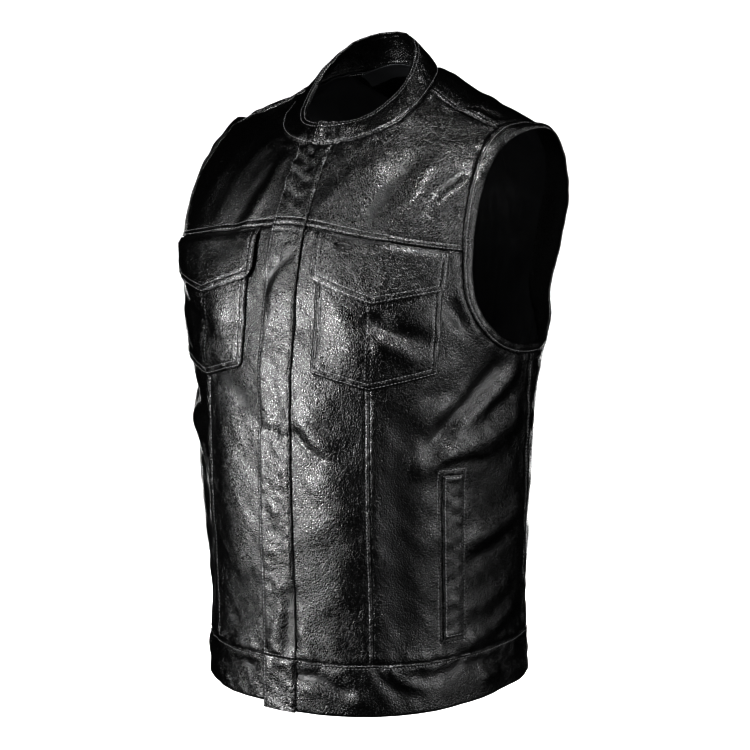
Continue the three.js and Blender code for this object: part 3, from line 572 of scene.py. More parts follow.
def band_skin(turn, grow, side):
    """Bare points, outward directions and relief round an armhole."""
    y, z = armhole_at(turn, grow)
    places_in = lambda back: handed(side_place(y, z, back), side)
    bare, out, ahead, past = on_charts(places_in, armhole_chart(turn, grow))
    share = 1 / (1 + np.exp((AT_SIDE - turn) / SIDE_BLEND)) / (1 + np.exp((turn - RIDGE_TURN) / RIDGE_BLEND))
    return bare, out, mix(ahead, past, share)


def neck_skin(turn, grow=0.0):
    """The same round the neck."""
    x, y = neck_plan(NECKLINE, turn)
    behind = y - ridge(x)[0]
    bare, out, ahead, past = on_charts(lambda back: neck_place(turn, back, grow), behind > 0)
    return bare, out, mix(ahead, past, 1 / (1 + np.exp(-behind / NECK_BLEND)))


class Seam:
    """A seam line on the bare form. It draws the cloth in unevenly along its length."""

    def __init__(self, points, draw, reach, seed, length=15):
        self.points = points
        self.arc = arc_of(points)
        self.ahead = unit(np.gradient(points, axis=0))
        self.draw, self.reach, self.seed, self.length = draw, reach, seed, length

    def measure(self, points):
        """Distance from the seam and place along it, for points on the bare form."""
        flat = points.reshape(-1, 3)
        far, along = np.full(len(flat), 1e3), np.zeros(len(flat))
        low, high = self.points.min(axis=0) - 45, self.points.max(axis=0) + 45
        near = np.nonzero(np.all((flat > low) & (flat < high), axis=1))[0]
        last = len(self.points) - 1
        for some in np.array_split(near, len(near) // 3000 + 1):
            gap = flat[some, None].astype(np.float32) - self.points[None].astype(np.float32)
            k = np.argmin((gap**2).sum(axis=-1), axis=1)
            reach = flat[some] - self.points[k]
            on = (reach * self.ahead[k]).sum(axis=-1)
            aside = np.linalg.norm(reach - on[:, None] * self.ahead[k], axis=1)
            ends = (k == 0) | (k == last)
            far[some] = np.where(ends, np.linalg.norm(reach, axis=1), aside)
            along[some] = self.arc[k] + on
        return far.reshape(points.shape[:-1]), along.reshape(points.shape[:-1])

    def drawn(self, d, t):
        """Uneven drawing in of the cloth at a distance from the seam and a place along it."""
        fade = np.exp(-((d / self.reach) ** 1.4))
        return self.draw * waves(self.seed, t + 0.4 * d, d, self.length, 6) * fade

    def lift(self, points, over, band, share=1.0):
        """How far the seam lifts the cloth. The side that is over is turned under and stitched down."""
        d, t = self.measure(points)
        rolled = 0.8 / (1 + np.exp(np.clip((d - band) / 0.5, -30, 30))) - 0.95 * np.exp(-((d / 0.9) ** 2))
        sewn = 0.3 * np.exp(-(((d - band - 4.5) / 3.2) ** 2)) - 0.5 * np.exp(-((d - band) ** 2))
        tucked = 0.35 * np.exp(-(((d - 6) / 3.6) ** 2)) - 0.8 * np.exp(-((d / 1.7) ** 2))
        return share * (self.drawn(d, t) + np.where(over, rolled + sewn, tucked))


class Layer:
    """One thickness of cloth on a chart: the seams that shape it, how high it lies and its own relief.

    A seam's row holds its name, whether the cloth lies over it (none: up to the long panel seam),
    how wide its turned edge is and its share of strength.
    """

    def __init__(self, chart, seams=(), lift=0.0, relief=None):
        self.chart, self.seams, self.lift, self.relief = chart, seams, lift, relief

    def skin(self, across, height):
        """Points, outward directions and the height of the creases."""
        bare = self.chart.bare(across, height)
        out = self.chart.outward(across, height)
        crest = self.chart.relief(across, height)
        for name, over, band, share in self.seams:
            over = np.abs(across) < PRINCESS if over is None else over
            crest = crest + SEAMS[name].lift(bare, over, band, share)
        if self.relief:
            crest = crest + self.relief(across, height)
        return bare + out * (crest + self.lift)[..., None], out, crest


def level_line(chart, start, end, height, count):
    across = np.linspace(start, end, count)
    return chart.bare(across, np.full(count, float(height)))


def all_seams():
    """Every seam line of the vest, by name."""
    turns = np.linspace(AT_SHOULDER, TAU + AT_SHOULDER, 420)
    neck_line = neck_skin(np.linspace(0, TAU, 260))[0]
    yoke_end = seam_place(np.array([AT_YOKE]), False)[0, 0]
    shoulder_end = seam_place(np.array([AT_SHOULDER]), False)[0, 0]
    shoulder_start = neck_place(np.array([AT_NECK]), False)[0, 0]
    reach = SIDE_SEAM["round"][0]
    heights = np.linspace(0, SIDE_SEAM["height"][-1], 180)
    panel = np.linspace(HEM_BAND, YOKE_SEAM, 220)
    made = {
        "yoke": Seam(level_line(FRONT, -yoke_end, yoke_end, YOKE_SEAM, 260), 0.22, 12, 101, 19),
        "hem_front": Seam(level_line(FRONT, -reach, reach, HEM_BAND, 380), 0.55, 15, 103, 24),
        "hem_back": Seam(level_line(BACK, -220, 220, HEM_BAND, 260), 0.5, 15, 104, 24),
        "neck": Seam(neck_line, 0.45, 13, 105, 17),
    }
    for name, side in SIDES:
        seed = 110 + side
        princess = FRONT.bare(np.full(len(panel), side * PRINCESS), panel)
        made[f"princess_{name}"] = Seam(princess, 0.3, 7, seed, 9)
        side_line = FRONT.bare(side * from_table(SIDE_SEAM, "round", heights), heights)
        made[f"side_{name}"] = Seam(side_line, 0.5, 13, seed + 10, 21)
        armhole = band_skin(turns, ARMHOLE_BAND, side)[0]
        made[f"armhole_{name}"] = Seam(armhole, 0.35, 10, seed + 20, 15)
        shoulder = level_line(FRONT, side * shoulder_start, side * shoulder_end, SHOULDER_SEAM, 90)
        made[f"shoulder_{name}"] = Seam(shoulder, 0.4, 9, seed + 30, 13)
    return made


SEAMS = all_seams()

# Spacing of points across a piece: close together next to sewn edges and even between them
EDGE = (0, 0.4, 0.9, 1.5, 2.2, 3.0, 3.8, 4.6, 5.4, 6.2, 7.0, 8.0, 9.4)
SHORT_EDGE = (0, 0.4, 0.9, 1.6, 2.5)
FINE = 2.5


def steps(length, start=EDGE, end=EDGE, fine=FINE):
    """Shares of a length, closer together near its sewn ends."""
    low = np.array(start or (0,)) / length
    high = 1 - np.array((end or (0,))[::-1]) / length
    count = max(2, round((high[0] - low[-1]) * length / fine))
    return np.concatenate([low[:-1], np.linspace(low[-1], high[0], count + 1), high[1:]])


def spread(low, high, start=EDGE, end=EDGE, fine=FINE):
    """Distances from low to high, spaced the same way."""
    return low + steps(high - low, start, end, fine) * (high - low)


def along(points, shares):
    """Places on a line at shares of its length."""
    points = np.asarray(points, float)
    arc = arc_of(points)
    return np.stack([np.interp(shares * arc[-1], arc, points[:, k]) for k in (0, 1)], -1)


def length_of(points):
    return float(arc_of(np.asarray(points, float))[-1])


def joined(first, second, at_first, at_second):
    """Two lines end to end at shares of each: the places, and their shares of the whole length."""
    long, more = length_of(first), length_of(second)
    line = np.concatenate([along(first, at_first), along(second, at_second)[1:]])
    return line, np.concatenate([at_first * long, long + at_second[1:] * more]) / (long + more)


def cornered(first, second):
    """Two lines end to end, with their points closer together at the ends and at the corner."""
    at_first = steps(length_of(first), EDGE, SHORT_EDGE)
    return joined(first, second, at_first, steps(length_of(second), SHORT_EDGE, EDGE))


def places(across, height):
    """Places on the cloth from distances across and heights."""
    return np.stack([across, 0 * across + height], -1)


def grid_of(columns, rows):
    return np.stack(np.meshgrid(columns, rows), -1)


def ruled(lower, upper, shares):
    return mix(lower[None], upper[None], shares[:, None, None])


def filled(lower, upper, left, right, u, v):
    """Places filled in between four edges that meet at their corners."""
    u, v = u[None, :, None], v[:, None, None]
    level = mix(lower[None], upper[None], v)
    upright = mix(left[:, None], right[:, None], u)
    corners = mix(mix(lower[0], lower[-1], u), mix(upper[0], upper[-1], u), v)
    return level + upright - corners


def to_side_seam(grid, behind):
    """Eases the outer part of each row over to the curved side seam."""
    start, end = grid[:, :1, 0], grid[:, -1:, 0]
    share = (grid[..., 0] - start) / (end - start)
    seam = side_seam(grid[:, -1, 1], behind)[:, None]
    up = np.linspace(0, 1, len(grid))[:, None]
    grid[..., 0] += share**2 * (seam - end) * (1 - up**24)
    return grid


def faces_of(grids):
    """Quads of several grids of vertex numbers."""
    quads = [
        np.stack([g[:-1, :-1], g[:-1, 1:], g[1:, 1:], g[1:, :-1]], -1).reshape(-1, 4)
        for g in grids
    ]
    return np.concatenate(quads)


def numbered(grid):
    """Numbers of a grid's points, row by row."""
    return np.arange(grid.size).reshape(grid.shape)


def tube_faces(grid):
    """Quads of a grid that closes on itself both ways."""
    return faces_of([np.pad(numbered(grid), (0, 1), mode="wrap")])


def area_of(points):
    """Area in square metres of a grid of points in millimetres."""
    cross = np.cross(points[1:, 1:] - points[:-1, :-1], points[1:, :-1] - points[:-1, 1:])
    return float(np.linalg.norm(cross, axis=-1).sum()) / 2e6


# How the vest sits on the shoulders: each armhole's front and back edges move by this x and y
SETTLED = {"front": {"left": (0, 0), "right": (-12, -5)}, "back": {"left": (6, 4), "right": (-6, 4)}}
SETTLED_HIP = -4.0  # and the wearer's right side hangs this far out
SETTLED_SHOULDER = -5.0  # both shoulders sink so far
SETTLED_TIP = 6.0  # but the tip of the wearer's right one stands up
SETTLED_NECK = ((-66, -36, 572), (9.0, 5.5, 0), 27)  # the collar leans in here, so far, over this reach
# The depths, heights and distances out between which those moves set in, or die away again
BEHIND, HIGH, OUT, HIP_OUT = (-50, 60), (385, 460), (60, 150), (90, 150)
TOP, TOP_OUT, TOP_END = (500, 580), (72, 110), (160, 190)
TIP, TIP_OUT = (440, 560), (160, 188)


def rise(value, low, high):
    """Smoothly from 0 at low to 1 at high."""
    t = np.clip((value - low) / (high - low), 0, 1)
    return t * t * (3 - 2 * t)


def settled(points):
    """Points of the vest moved to where it settles on the shoulders, the same for every piece."""
    x, y, z = points.T
    far = np.abs(x)
    behind, high = rise(y, *BEHIND), rise(z, *HIGH)
    moved = points.copy()
    for name, side in SIDES:
        share = high * rise(side * x, *OUT)
        for k in (0, 1):
            moved[:, k] += share * mix(SETTLED["front"][name][k], SETTLED["back"][name][k], behind)
    moved[:, 0] += SETTLED_HIP * rise(-x, *HIP_OUT) * (1 - high)
    moved[:, 2] += SETTLED_SHOULDER * rise(z, *TOP) * rise(far, *TOP_OUT) * (1 - rise(far, *TOP_END))
    moved[:, 2] += SETTLED_TIP * rise(z, *TIP) * rise(-x, *TIP_OUT)
    place, lean, reach = SETTLED_NECK
    near = np.exp(-0.5 * np.sum((points - np.array(place)) ** 2, axis=1) / reach**2)
    moved += near[:, None] * np.array(lean)
    return moved


def make_object(name, points, faces, paints, paint_of=None, crest=None, worn=True):
    """A smooth mesh object from points in millimetres above the hem. Faces are quads or triangles."""
    mesh = bpy.data.meshes.new(name)
    points = np.asarray(points, float)
    lowered = ((settled(points) if worn else points) - np.array([0, 0, NECK_POINT])) / 1000
    faces = [np.asarray(group, int) for group in faces if len(group)]
    sizes = np.concatenate([np.full(len(group), group.shape[1]) for group in faces])
    corners = np.concatenate([group.reshape(-1) for group in faces])
    mesh.vertices.add(len(lowered))
    mesh.vertices.foreach_set("co", lowered.reshape(-1))
    mesh.loops.add(len(corners))
    mesh.loops.foreach_set("vertex_index", corners)
    mesh.polygons.add(len(sizes))
    mesh.polygons.foreach_set("loop_start", np.concatenate([[0], np.cumsum(sizes)[:-1]]))
    mesh.polygons.foreach_set("use_smooth", np.ones(len(sizes), bool))
    if paint_of is not None:
        mesh.polygons.foreach_set("material_index", paint_of)
    if crest is not None:
        heights = mesh.attributes.new("crest", "FLOAT", "POINT")
        heights.data.foreach_set("value", crest.astype(np.float32))
    mesh.update(calc_edges=True)
    if mesh.validate():
        raise RuntimeError(f"{name} has faces that are not sound")
    for paint in paints:
        mesh.materials.append(paint)
    made = bpy.data.objects.new(name, mesh)
    bpy.context.scene.collection.objects.link(made)
    return made


def shell(name, layer, grids, wall, paints, bulge=0.25):
    """A closed thin wall with rounded edges from grids of places that share their common edges."""
    own = np.concatenate([g.reshape(-1, 2) for g in grids])
    _, first, number = np.unique(np.round(own, 3), axis=0, return_index=True, return_inverse=True)
    number = number.reshape(-1)
    starts = np.cumsum([0] + [g.shape[0] * g.shape[1] for g in grids])
    numbers = [number[a:b].reshape(g.shape[:2]) for a, b, g in zip(starts, starts[1:], grids)]
    points, out, crest = layer.skin(own[first, 0], own[first, 1])
    return closed_wall(name, points, out, crest, faces_of(numbers), wall, paints, bulge)


def closed_wall(name, points, out, crest, quads, wall, paints, bulge):
    """Gives a sheet of quads its thickness, with a rounded rim round its open edges."""
    a, b, c, d = (points[quads[:, k]] for k in range(4))
    if (np.cross(c - a, d - b) * out[quads[:, 0]]).sum() < 0:
        quads = quads[:, ::-1]
    count = len(points)
    edges = np.concatenate([quads[:, [k, (k + 1) % 4]] for k in range(4)])
    rim = edges[~np.isin(edges[:, 0] * count + edges[:, 1], edges[:, 1] * count + edges[:, 0])]
    aside = np.zeros_like(points)
    run = points[rim[:, 1]] - points[rim[:, 0]]
    for k in (0, 1):
        np.add.at(aside, rim[:, k], unit(np.cross(run, out[rim[:, k]])))
    on_rim = np.unique(rim)
    bulged = points[on_rim] - out[on_rim] * wall / 2 + unit(aside[on_rim]) * bulge
    place = np.full(count, -1)
    place[on_rim] = 2 * count + np.arange(len(on_rim))
    p, q = rim[:, 0], rim[:, 1]
    upper = np.stack([q, p, place[p], place[q]], -1)
    lower = np.stack([place[q], place[p], p + count, q + count], -1)
    everything = np.concatenate([points, points - out * wall, bulged])
    faces = np.concatenate([quads, quads[:, ::-1] + count, upper, lower])
    paint_of = np.zeros(len(faces), int)
    paint_of[len(quads):2 * len(quads)] = len(paints) - 1
    crests = np.concatenate([crest, crest, crest[on_rim]])
    return make_object(name, everything, [faces], paints, paint_of, crests)


def seat(made, node, cut=None):
    """Ties a piece to the frame's root body and hides the solid it stands for. The cut is not used."""
    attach(made, "root")
    if node:
        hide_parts(node)
    return made


def cut_of(chart, grids):
    """Width, length and area in metres of a piece before it was sewn in."""
    own = np.concatenate([g.reshape(-1, 2) for g in grids])
    width, length = (own.max(axis=0) - own.min(axis=0)) / 1000
    area = sum(area_of(chart.bare(g[..., 0], g[..., 1])) for g in grids)
    return float(width), float(length), area


def piece(node, layer, grids, wall, paints, bulge=0.25, stuff="leather"):
    """A cut piece of cloth on its layer, seated."""
    made = shell(f"{node}_{stuff}", layer, grids, wall, paints, bulge)
    return seat(made, node, cut_of(layer.chart, grids))


def pointed_line(shape, across):
    """Straight lower edge of a flap or pocket, down to its point on the panel seam."""
    edge = np.where(across < PRINCESS, shape["inner"], shape["outer"])
    return mix(shape["side"], shape["point"], (across - edge) / (PRINCESS - edge))


def pointed_edge(shape, across):
    """The same edge with rounded corners."""
    edge = np.where(across < PRINCESS, shape["inner"], shape["outer"])
    inside = np.clip(np.abs(across - edge) / shape["round"], 0, 1)
    return pointed_line(shape, across) + shape["round"] * (1 - np.sqrt(1 - (1 - inside) ** 2))


def from_outline(shape, across, height):
    """Distance in from a flap's or pocket's sides and lower edge."""
    across = np.abs(across)
    tall = shape["side"] - shape["point"]
    wide = np.where(across < PRINCESS, PRINCESS - shape["inner"], shape["outer"] - PRINCESS)
    below = (height - pointed_line(shape, across)) * wide / np.hypot(wide, tall)
    return np.minimum(np.minimum(across - shape["inner"], shape["outer"] - across), below)


def pocket_puff(across, height):
    u = np.clip((np.abs(across) - POCKET["inner"]) / (POCKET["outer"] - POCKET["inner"]), 0, 1)
    v = np.clip((height - POCKET["point"]) / (POCKET["top"] - POCKET["point"]), 0, 1)
    belly = np.sin(math.pi * u) * np.sin(math.pi * v)
    return belly * (POCKET["puff"] + folded(POCKET_FOLDS, across, height))


def turned_edge(d, depth=1.0, lines=()):
    """Skin of a piece at a distance in from its turned edge, drawn down along its lines of stitches."""
    skin = -depth * np.exp(-((d / 0.9) ** 2))
    for at in lines:
        skin = skin - 0.38 * np.exp(-((d - at) ** 2))
        skin = skin + 0.22 * np.exp(-(((d - at - 2.4) / 1.6) ** 2))
    return skin


def pocket_face(across, height):
    d = from_outline(POCKET, across, height)
    drawn = 0.3 * waves(51, across, height, 12) * np.exp(-((d / 12) ** 2))
    return pocket_puff(across, height) + turned_edge(d, 1.0, POCKET_LINES) + drawn


def flap_face(across, height):
    d = from_outline(FLAP, across, height)
    hinge = 2.4 * np.exp(-(((FLAP["top"] - height) / 5) ** 2))
    slot_x, slot_z = (across - SLOT["across"]) / SLOT["long"], (height - SLOT["height"]) / SLOT["tall"]
    sunk = 1.2 * np.exp(-((2 * np.hypot(slot_x, slot_z)) ** 4))
    drawn = 0.25 * waves(53, across, height, 13) * np.exp(-((d / 12) ** 2))
    return pocket_puff(across, height) + turned_edge(d, 0.8, POCKET_LINES) + drawn - hinge - sunk


def from_welt(across, height):
    """Distance out from the welt's outline."""
    side = np.maximum(WELT["inner"] - np.abs(across), np.abs(across) - WELT["outer"])
    end = np.maximum(WELT["bottom"] - height, height - WELT["top"])
    return np.hypot(np.maximum(side, 0), np.maximum(end, 0)) + np.minimum(np.maximum(side, end), 0)


def welt_frame(across, height):
    """The panel round a welt: a sewn frame that stands a little proud."""
    d = from_welt(across, height)
    proud = 0.7 * np.exp(-(((d - 2.6) / 1.9) ** 2))
    return proud - 0.55 * np.exp(-((d - WELT_FRAME) ** 2)) - 0.6 * np.exp(-(d**2))


def welt_face(across, height):
    share = np.clip((np.abs(across) - WELT["inner"]) / (WELT["outer"] - WELT["inner"]), 0, 1)
    d = np.minimum(np.abs(across) - WELT["inner"], np.minimum(WELT["top"] - height, height - WELT["bottom"]))
    d = np.minimum(d, WELT["outer"] - np.abs(across))
    return share**2 + turned_edge(d, 0.8, (WELT_LINE,)) + 0.25 * waves(57, across, height, 16)


def placket_face(across, height):
    left, right = across + PLACKET, PLACKET - across
    seam = -0.5 * np.exp(-(((right - 1.6) / 0.8) ** 2))
    edges = turned_edge(left, 1.1, (FRONT_EDGE_LINE,)) + turned_edge(right, 0.9)
    return edges + seam + 0.22 * waves(59, across, height, 17)


def drawn_hem(seed, across, height):
    """Slanting creases along the middle of a hem band."""
    fade = np.exp(-(((height - 26) / 22) ** 2))
    return 0.55 * waves(seed, across + 0.7 * height, height, 26) * fade


def hem_face(across, height):
    return drawn_hem(61, across, height) + turned_edge(height - hem_edge(across), 1.0)


def hem_back_face(across, height):
    return drawn_hem(63, across, height) + turned_edge(height, 1.0)


def lining_face(across, height):
    """The lining hangs slack inside the back, in soft creases that end at the armholes' facings."""
    bare = BACK.bare(across, height)
    far = np.minimum(*(SEAMS[f"armhole_{name}"].measure(bare)[0] for name, _ in SIDES))
    free = np.clip((far - 16) / 18, 0, 1) ** 2
    creases = 1.3 * np.abs(waves(65, across, 0.4 * height, 24))
    return -free * (creases + 0.5 * np.abs(waves(66, across, height, 12)))


def front_layers(name):
    """The layers of one front, by piece."""
    princess, armhole = f"princess_{name}", f"armhole_{name}"
    shoulder, side = f"shoulder_{name}", f"side_{name}"
    centre = ((princess, True, SEAM_LINE, 1), ("yoke", False, 0, 1), ("hem_front", False, 0, 1))
    outer = ((princess, False, 0, 1), ("yoke", False, 0, 1), ("hem_front", False, 0, 1),
             (side, False, 0, 1), (armhole, False, 0, 1))
    yoke = (("yoke", True, 6, 1), (shoulder, False, 0, 1), (armhole, False, 0, 1), ("neck", False, 0, 1.3))
    return {
        "centre": Layer(FRONT, centre),
        "side": Layer(FRONT, outer, relief=welt_frame),
        "yoke": Layer(FRONT, yoke),
        "pocket": Layer(FRONT, ((princess, None, SEAM_LINE, 0.6),), POCKET_LIFT, pocket_face),
        "flap": Layer(FRONT, ((princess, None, SEAM_LINE, 0.25),), FLAP_LIFT, flap_face),
        "welt": Layer(FRONT, (), POCKET_LIFT, welt_face),
        "hem": Layer(FRONT, (("hem_front", True, SEAM_LINE, 1), (side, False, 0, 1)), 0, hem_face),
    }


FRONTS = {name: front_layers(name) for name, _ in SIDES}
PLACKET_SEAMS = (("yoke", True, 6, 0.8), ("hem_front", False, 0, 0.8), ("neck", False, 0, 2.4))
PLACKET_LAYER = Layer(FRONT, PLACKET_SEAMS, PLACKET_LIFT, placket_face)
BACK_SEAMS = [("hem_back", False, 0, 1), ("neck", False, 0, 1)] + [
    (f"{line}_{name}", over, band, 1)
    for name, _ in SIDES
    for line, over, band in (("side", True, 3), ("armhole", False, 0), ("shoulder", True, 6))
]
BACK_LAYER = Layer(BACK, BACK_SEAMS)
HEM_BACK_LAYER = Layer(BACK, (("hem_back", True, SEAM_LINE, 1),), 0, hem_back_face)
LINING_LAYER = Layer(BACK, (), -LINING_DEPTH, lining_face)


def front_centre_grid():
    columns = spread(HALF_GAP, PRINCESS - HALF_GAP, SHORT_EDGE)
    return grid_of(columns, spread(HEM_BAND + HALF_GAP, YOKE_SEAM - HALF_GAP))


def armhole_line(start, end, behind, count=240):
    """The panels' cut round the wearer's left armhole, between two turns."""
    return seam_place(np.linspace(start, end, count), behind, ARMHOLE_BAND + 2 * HALF_GAP)


def front_side_grid():
    yoke_end = seam_place([AT_YOKE], False)[0, 0] - HALF_GAP
    seam = np.array([[PRINCESS + HALF_GAP, YOKE_SEAM - HALF_GAP], [yoke_end, YOKE_SEAM - HALF_GAP]])
    armhole = armhole_line(AT_YOKE, AT_SIDE, False)
    armhole[0] = seam[1]
    armhole[-1, 0] -= HALF_GAP
    top, shares = cornered(seam, armhole)
    bottom = places(mix(top[0, 0], side_seam(HEM_BAND), shares), HEM_BAND + HALF_GAP)
    return to_side_seam(ruled(bottom, top, steps(360)), False)


def front_yoke_grid():
    bottom_at, top_at = YOKE_SEAM + HALF_GAP, SHOULDER_SEAM - HALF_GAP
    right = armhole_line(AT_YOKE, AT_SHOULDER, False)
    right[0, 1], right[-1, 1] = bottom_at, top_at
    neck = neck_place(np.linspace(HALF_GAP / NECKLINE["forward"], AT_NECK, 160), False)
    neck[-1, 1] = top_at
    left, v = cornered(np.array([[HALF_GAP, bottom_at], neck[0]]), neck)
    u = steps(140)
    lower = along([left[0], right[0]], u)
    upper = along([left[-1], right[-1]], u)
    return filled(lower, upper, left, along(right, v), u, v)


def whole(half):
    """A grid and its mirror image as one, from the grid that starts at the centre."""
    return np.concatenate([mirrored(half[:, :0:-1]), half], axis=1)


def back_grids(fine, edge):
    """Two grids for the back: one up to the armholes' backs and one over the shoulders."""
    under = armhole_line(AT_SIDE, AT_SPLIT, True)
    behind = armhole_line(AT_SPLIT, TAU + AT_SHOULDER, True)
    behind[0] = under[-1]
    behind[-1] = (seam_place([AT_SHOULDER], True)[0, 0] - 2 * HALF_GAP, BACK_TOP - HALF_GAP)
    neck = neck_place(np.linspace(math.pi, AT_NECK, 160), True)
    neck[0, 0] = 0
    neck[-1, 1] = BACK_TOP - HALF_GAP
    shoulder = np.array([neck[-1], behind[-1]])
    at_neck = steps(length_of(neck), None, SHORT_EDGE, fine)
    top, u = joined(neck, shoulder, at_neck, steps(length_of(shoulder), SHORT_EDGE, edge, fine))
    level = [[0, under[-1, 1]], under[-1]]
    split = along(level, u)
    over, shares = joined(level, under[::-1], u, steps(length_of(under), SHORT_EDGE, edge, fine))
    foot = places(shares * side_seam(HEM_BAND, True), HEM_BAND + HALF_GAP)
    body = to_side_seam(ruled(foot, over, steps(380, edge, edge, fine)), True)
    v = steps(length_of(behind), None, edge, fine)
    centre = along([split[0], top[0]], v)
    return [whole(body), whole(filled(split, top, centre, along(behind, v), u, v))]


def hem_front_grid(side):
    shares = steps(side_seam(0), SHORT_EDGE, EDGE)
    foot = mix(HALF_GAP, side_seam(0), shares)
    upper = places(mix(HALF_GAP, side_seam(HEM_BAND), shares), HEM_BAND - HALF_GAP)
    return ruled(places(foot, hem_edge(side * foot)), upper, steps(HEM_BAND, SHORT_EDGE, EDGE))


def hem_back_grid():
    shares = steps(side_seam(0, True), None, EDGE)
    lower = places(shares * side_seam(0, True), 0)
    upper = places(shares * side_seam(HEM_BAND, True), HEM_BAND - HALF_GAP)
    return whole(ruled(lower, upper, steps(HEM_BAND, SHORT_EDGE, EDGE)))


def placket_grids():
    columns = spread(-PLACKET, PLACKET, EDGE[:8], EDGE[:8], 2.0)
    turns = np.linspace(0, QUARTER, 400)
    neck_turn = np.interp(np.abs(columns), neck_plan(NECKLINE, turns)[0], turns)
    neck = neck_place(neck_turn, False)[:, 1] - 4 * HALF_GAP
    lengths = {
        "hem": (hem_edge(1.0), HEM_BAND - HALF_GAP, SHORT_EDGE, EDGE),
        "body": (HEM_BAND + HALF_GAP, YOKE_SEAM - HALF_GAP, EDGE, EDGE),
        "yoke": (YOKE_SEAM + HALF_GAP, neck, EDGE, EDGE),
    }
    made = {}
    for name, (bottom, top, start, end) in lengths.items():
        rows = steps(float(np.mean(top - bottom)), start, end, 1.5)
        made[name] = ruled(places(columns, bottom), places(columns, top), rows)
    return made


def pointed_grid(shape, top_edge):
    inner = spread(shape["inner"], PRINCESS, EDGE, None, 2.2)
    columns = np.concatenate([inner, spread(PRINCESS, shape["outer"], None, EDGE, 2.2)[1:]])
    lower, upper = places(columns, pointed_edge(shape, columns)), places(columns, shape["top"])
    return ruled(lower, upper, steps(shape["top"] - shape["side"] + 8, EDGE, top_edge, 2.2))


def welt_grid():
    columns = spread(WELT["inner"], WELT["outer"], EDGE[:6], EDGE[:6], 1.8)
    return grid_of(columns, spread(WELT["bottom"], WELT["top"]))


# Section of the strip that binds an armhole: how far out from its rim, and how high on the cloth.
# It goes over the rim and on as a facing inside.
BAND_SECTION = (
    (10, -0.9), (9.85, 0.1), (9.4, 0.7), (8.7, 1.0), (8.0, 0.85), (7.4, 0.55), (6.8, 0.85), (6.0, 1.1),
    (4.6, 1.2), (3.2, 1.1), (1.8, 0.8), (0.8, 0.3), (0.15, -0.5), (0, -1.3), (0.3, -2.1), (1.2, -2.7),
    (3, -3.1), (7, -3.6), (12, -4.1), (17, -4.5), (22, -4.9), (22.3, -4.5), (21.9, -4.1), (14, -3.9),
    (10.3, -2.9),
)
BAND_STEPS = 400
BAND_RIM = 12  # the row of the section along which the strip's length is taken


def armhole_band(name, side, paint):
    turns = np.linspace(AT_SHOULDER, TAU + AT_SHOULDER, BAND_STEPS + 1)[:-1]
    grow, high = (np.array(column)[:, None] for column in zip(*BAND_SECTION))
    turn = np.tile(turns, (len(BAND_SECTION), 1))
    bare, out, crest = band_skin(turn, grow + 0 * turn, side)
    d, t = SEAMS[f"armhole_{name}"].measure(bare)
    drawn = SEAMS[f"armhole_{name}"].drawn(d, t)
    points = bare + out * (crest + high + drawn)[..., None]
    faces = tube_faces(turn)
    if side > 0:
        faces = faces[:, ::-1]
    node = f"armhole_band_{name}"
    made = make_object(f"{node}_leather", points.reshape(-1, 3), [faces], [paint], crest=crest.reshape(-1))
    area = area_of(np.pad(points, ((0, 1), (0, 1), (0, 0)), mode="wrap")) / 2
    rim = points[BAND_RIM]
    around = np.linalg.norm(rim - np.roll(rim, 1, axis=0), axis=1).sum() / 1000
    return seat(made, node, (around, area / around, area))


def collar_seat(turn):
    """Where the collar's lower edge sits on the cloth round the neck."""
    bare, out, crest = neck_skin(turn, -COLLAR["gap"])
    return bare + out * crest[..., None]


def collar_rim(turn):
    x, y = neck_plan(RIM, turn)
    c = np.cos(turn)
    side, tilt, bow, dip = (RIM_HEIGHT[key] for key in ("side", "tilt", "bow", "dip"))
    height = side - tilt * c + bow * c * c + dip * c**3
    return np.stack([x + RIM["shift"], y, height], -1)


def collar_skin(turn, share):
    """Points, outward directions and crease heights of the collar's outer face."""
    low, high = collar_seat(turn), collar_rim(turn)
    step = 0.02
    ahead = mix(collar_seat(turn + step), collar_rim(turn + step), share[..., None])
    before = mix(collar_seat(turn - step), collar_rim(turn - step), share[..., None])
    out = unit(np.cross(ahead - before, high - low))
    tall = np.linalg.norm(high - low, axis=-1)
    above, below = share * tall, (1 - share) * tall
    crest = np.clip(1 - turn / COLLAR["settled"], 0, 1) ** 2 * COLLAR["step"]
    crest = crest + COLLAR["bow"] * np.sin(math.pi * share)
    arc = COLLAR_REACH * turn
    crest = crest + 0.4 * waves(71, arc, above, 34) + 0.16 * waves(72, arc, above, 15)
    bunched = np.exp(-(((turn - 0.12) / 0.3) ** 2)) + 0.7 * np.exp(-(((turn - 1.9) / 0.35) ** 2))
    crest = crest + 0.6 * bunched * waves(73, arc + 0.35 * above, 0.4 * above, 12)
    edges = np.exp(-((above / 9) ** 2)) + np.exp(-((below / 7) ** 2))
    crest = crest + 0.32 * waves(74, arc, above, 13) * edges
    crest = crest + turned_edge(above, 0.8, (FRONT_EDGE_LINE,)) + turned_edge(below, 0.9, RIM_LINES)
    crest = crest + turned_edge(arc - COLLAR_REACH * collar_ends()[0], 1.1, (FRONT_EDGE_LINE,))
    return mix(low, high, share[..., None]) + out * crest[..., None], out, crest


def collar_ends():
    return -COLLAR["lap"] / NECKLINE["forward"], TAU + COLLAR["under"] / NECKLINE["forward"]


def collar_grid():
    start, end = collar_ends()
    turns = start + steps(COLLAR_REACH * (end - start), SHORT_EDGE, SHORT_EDGE, 1.9) * (end - start)
    return np.meshgrid(turns, steps(COLLAR_TALL, EDGE, EDGE, 2.2))


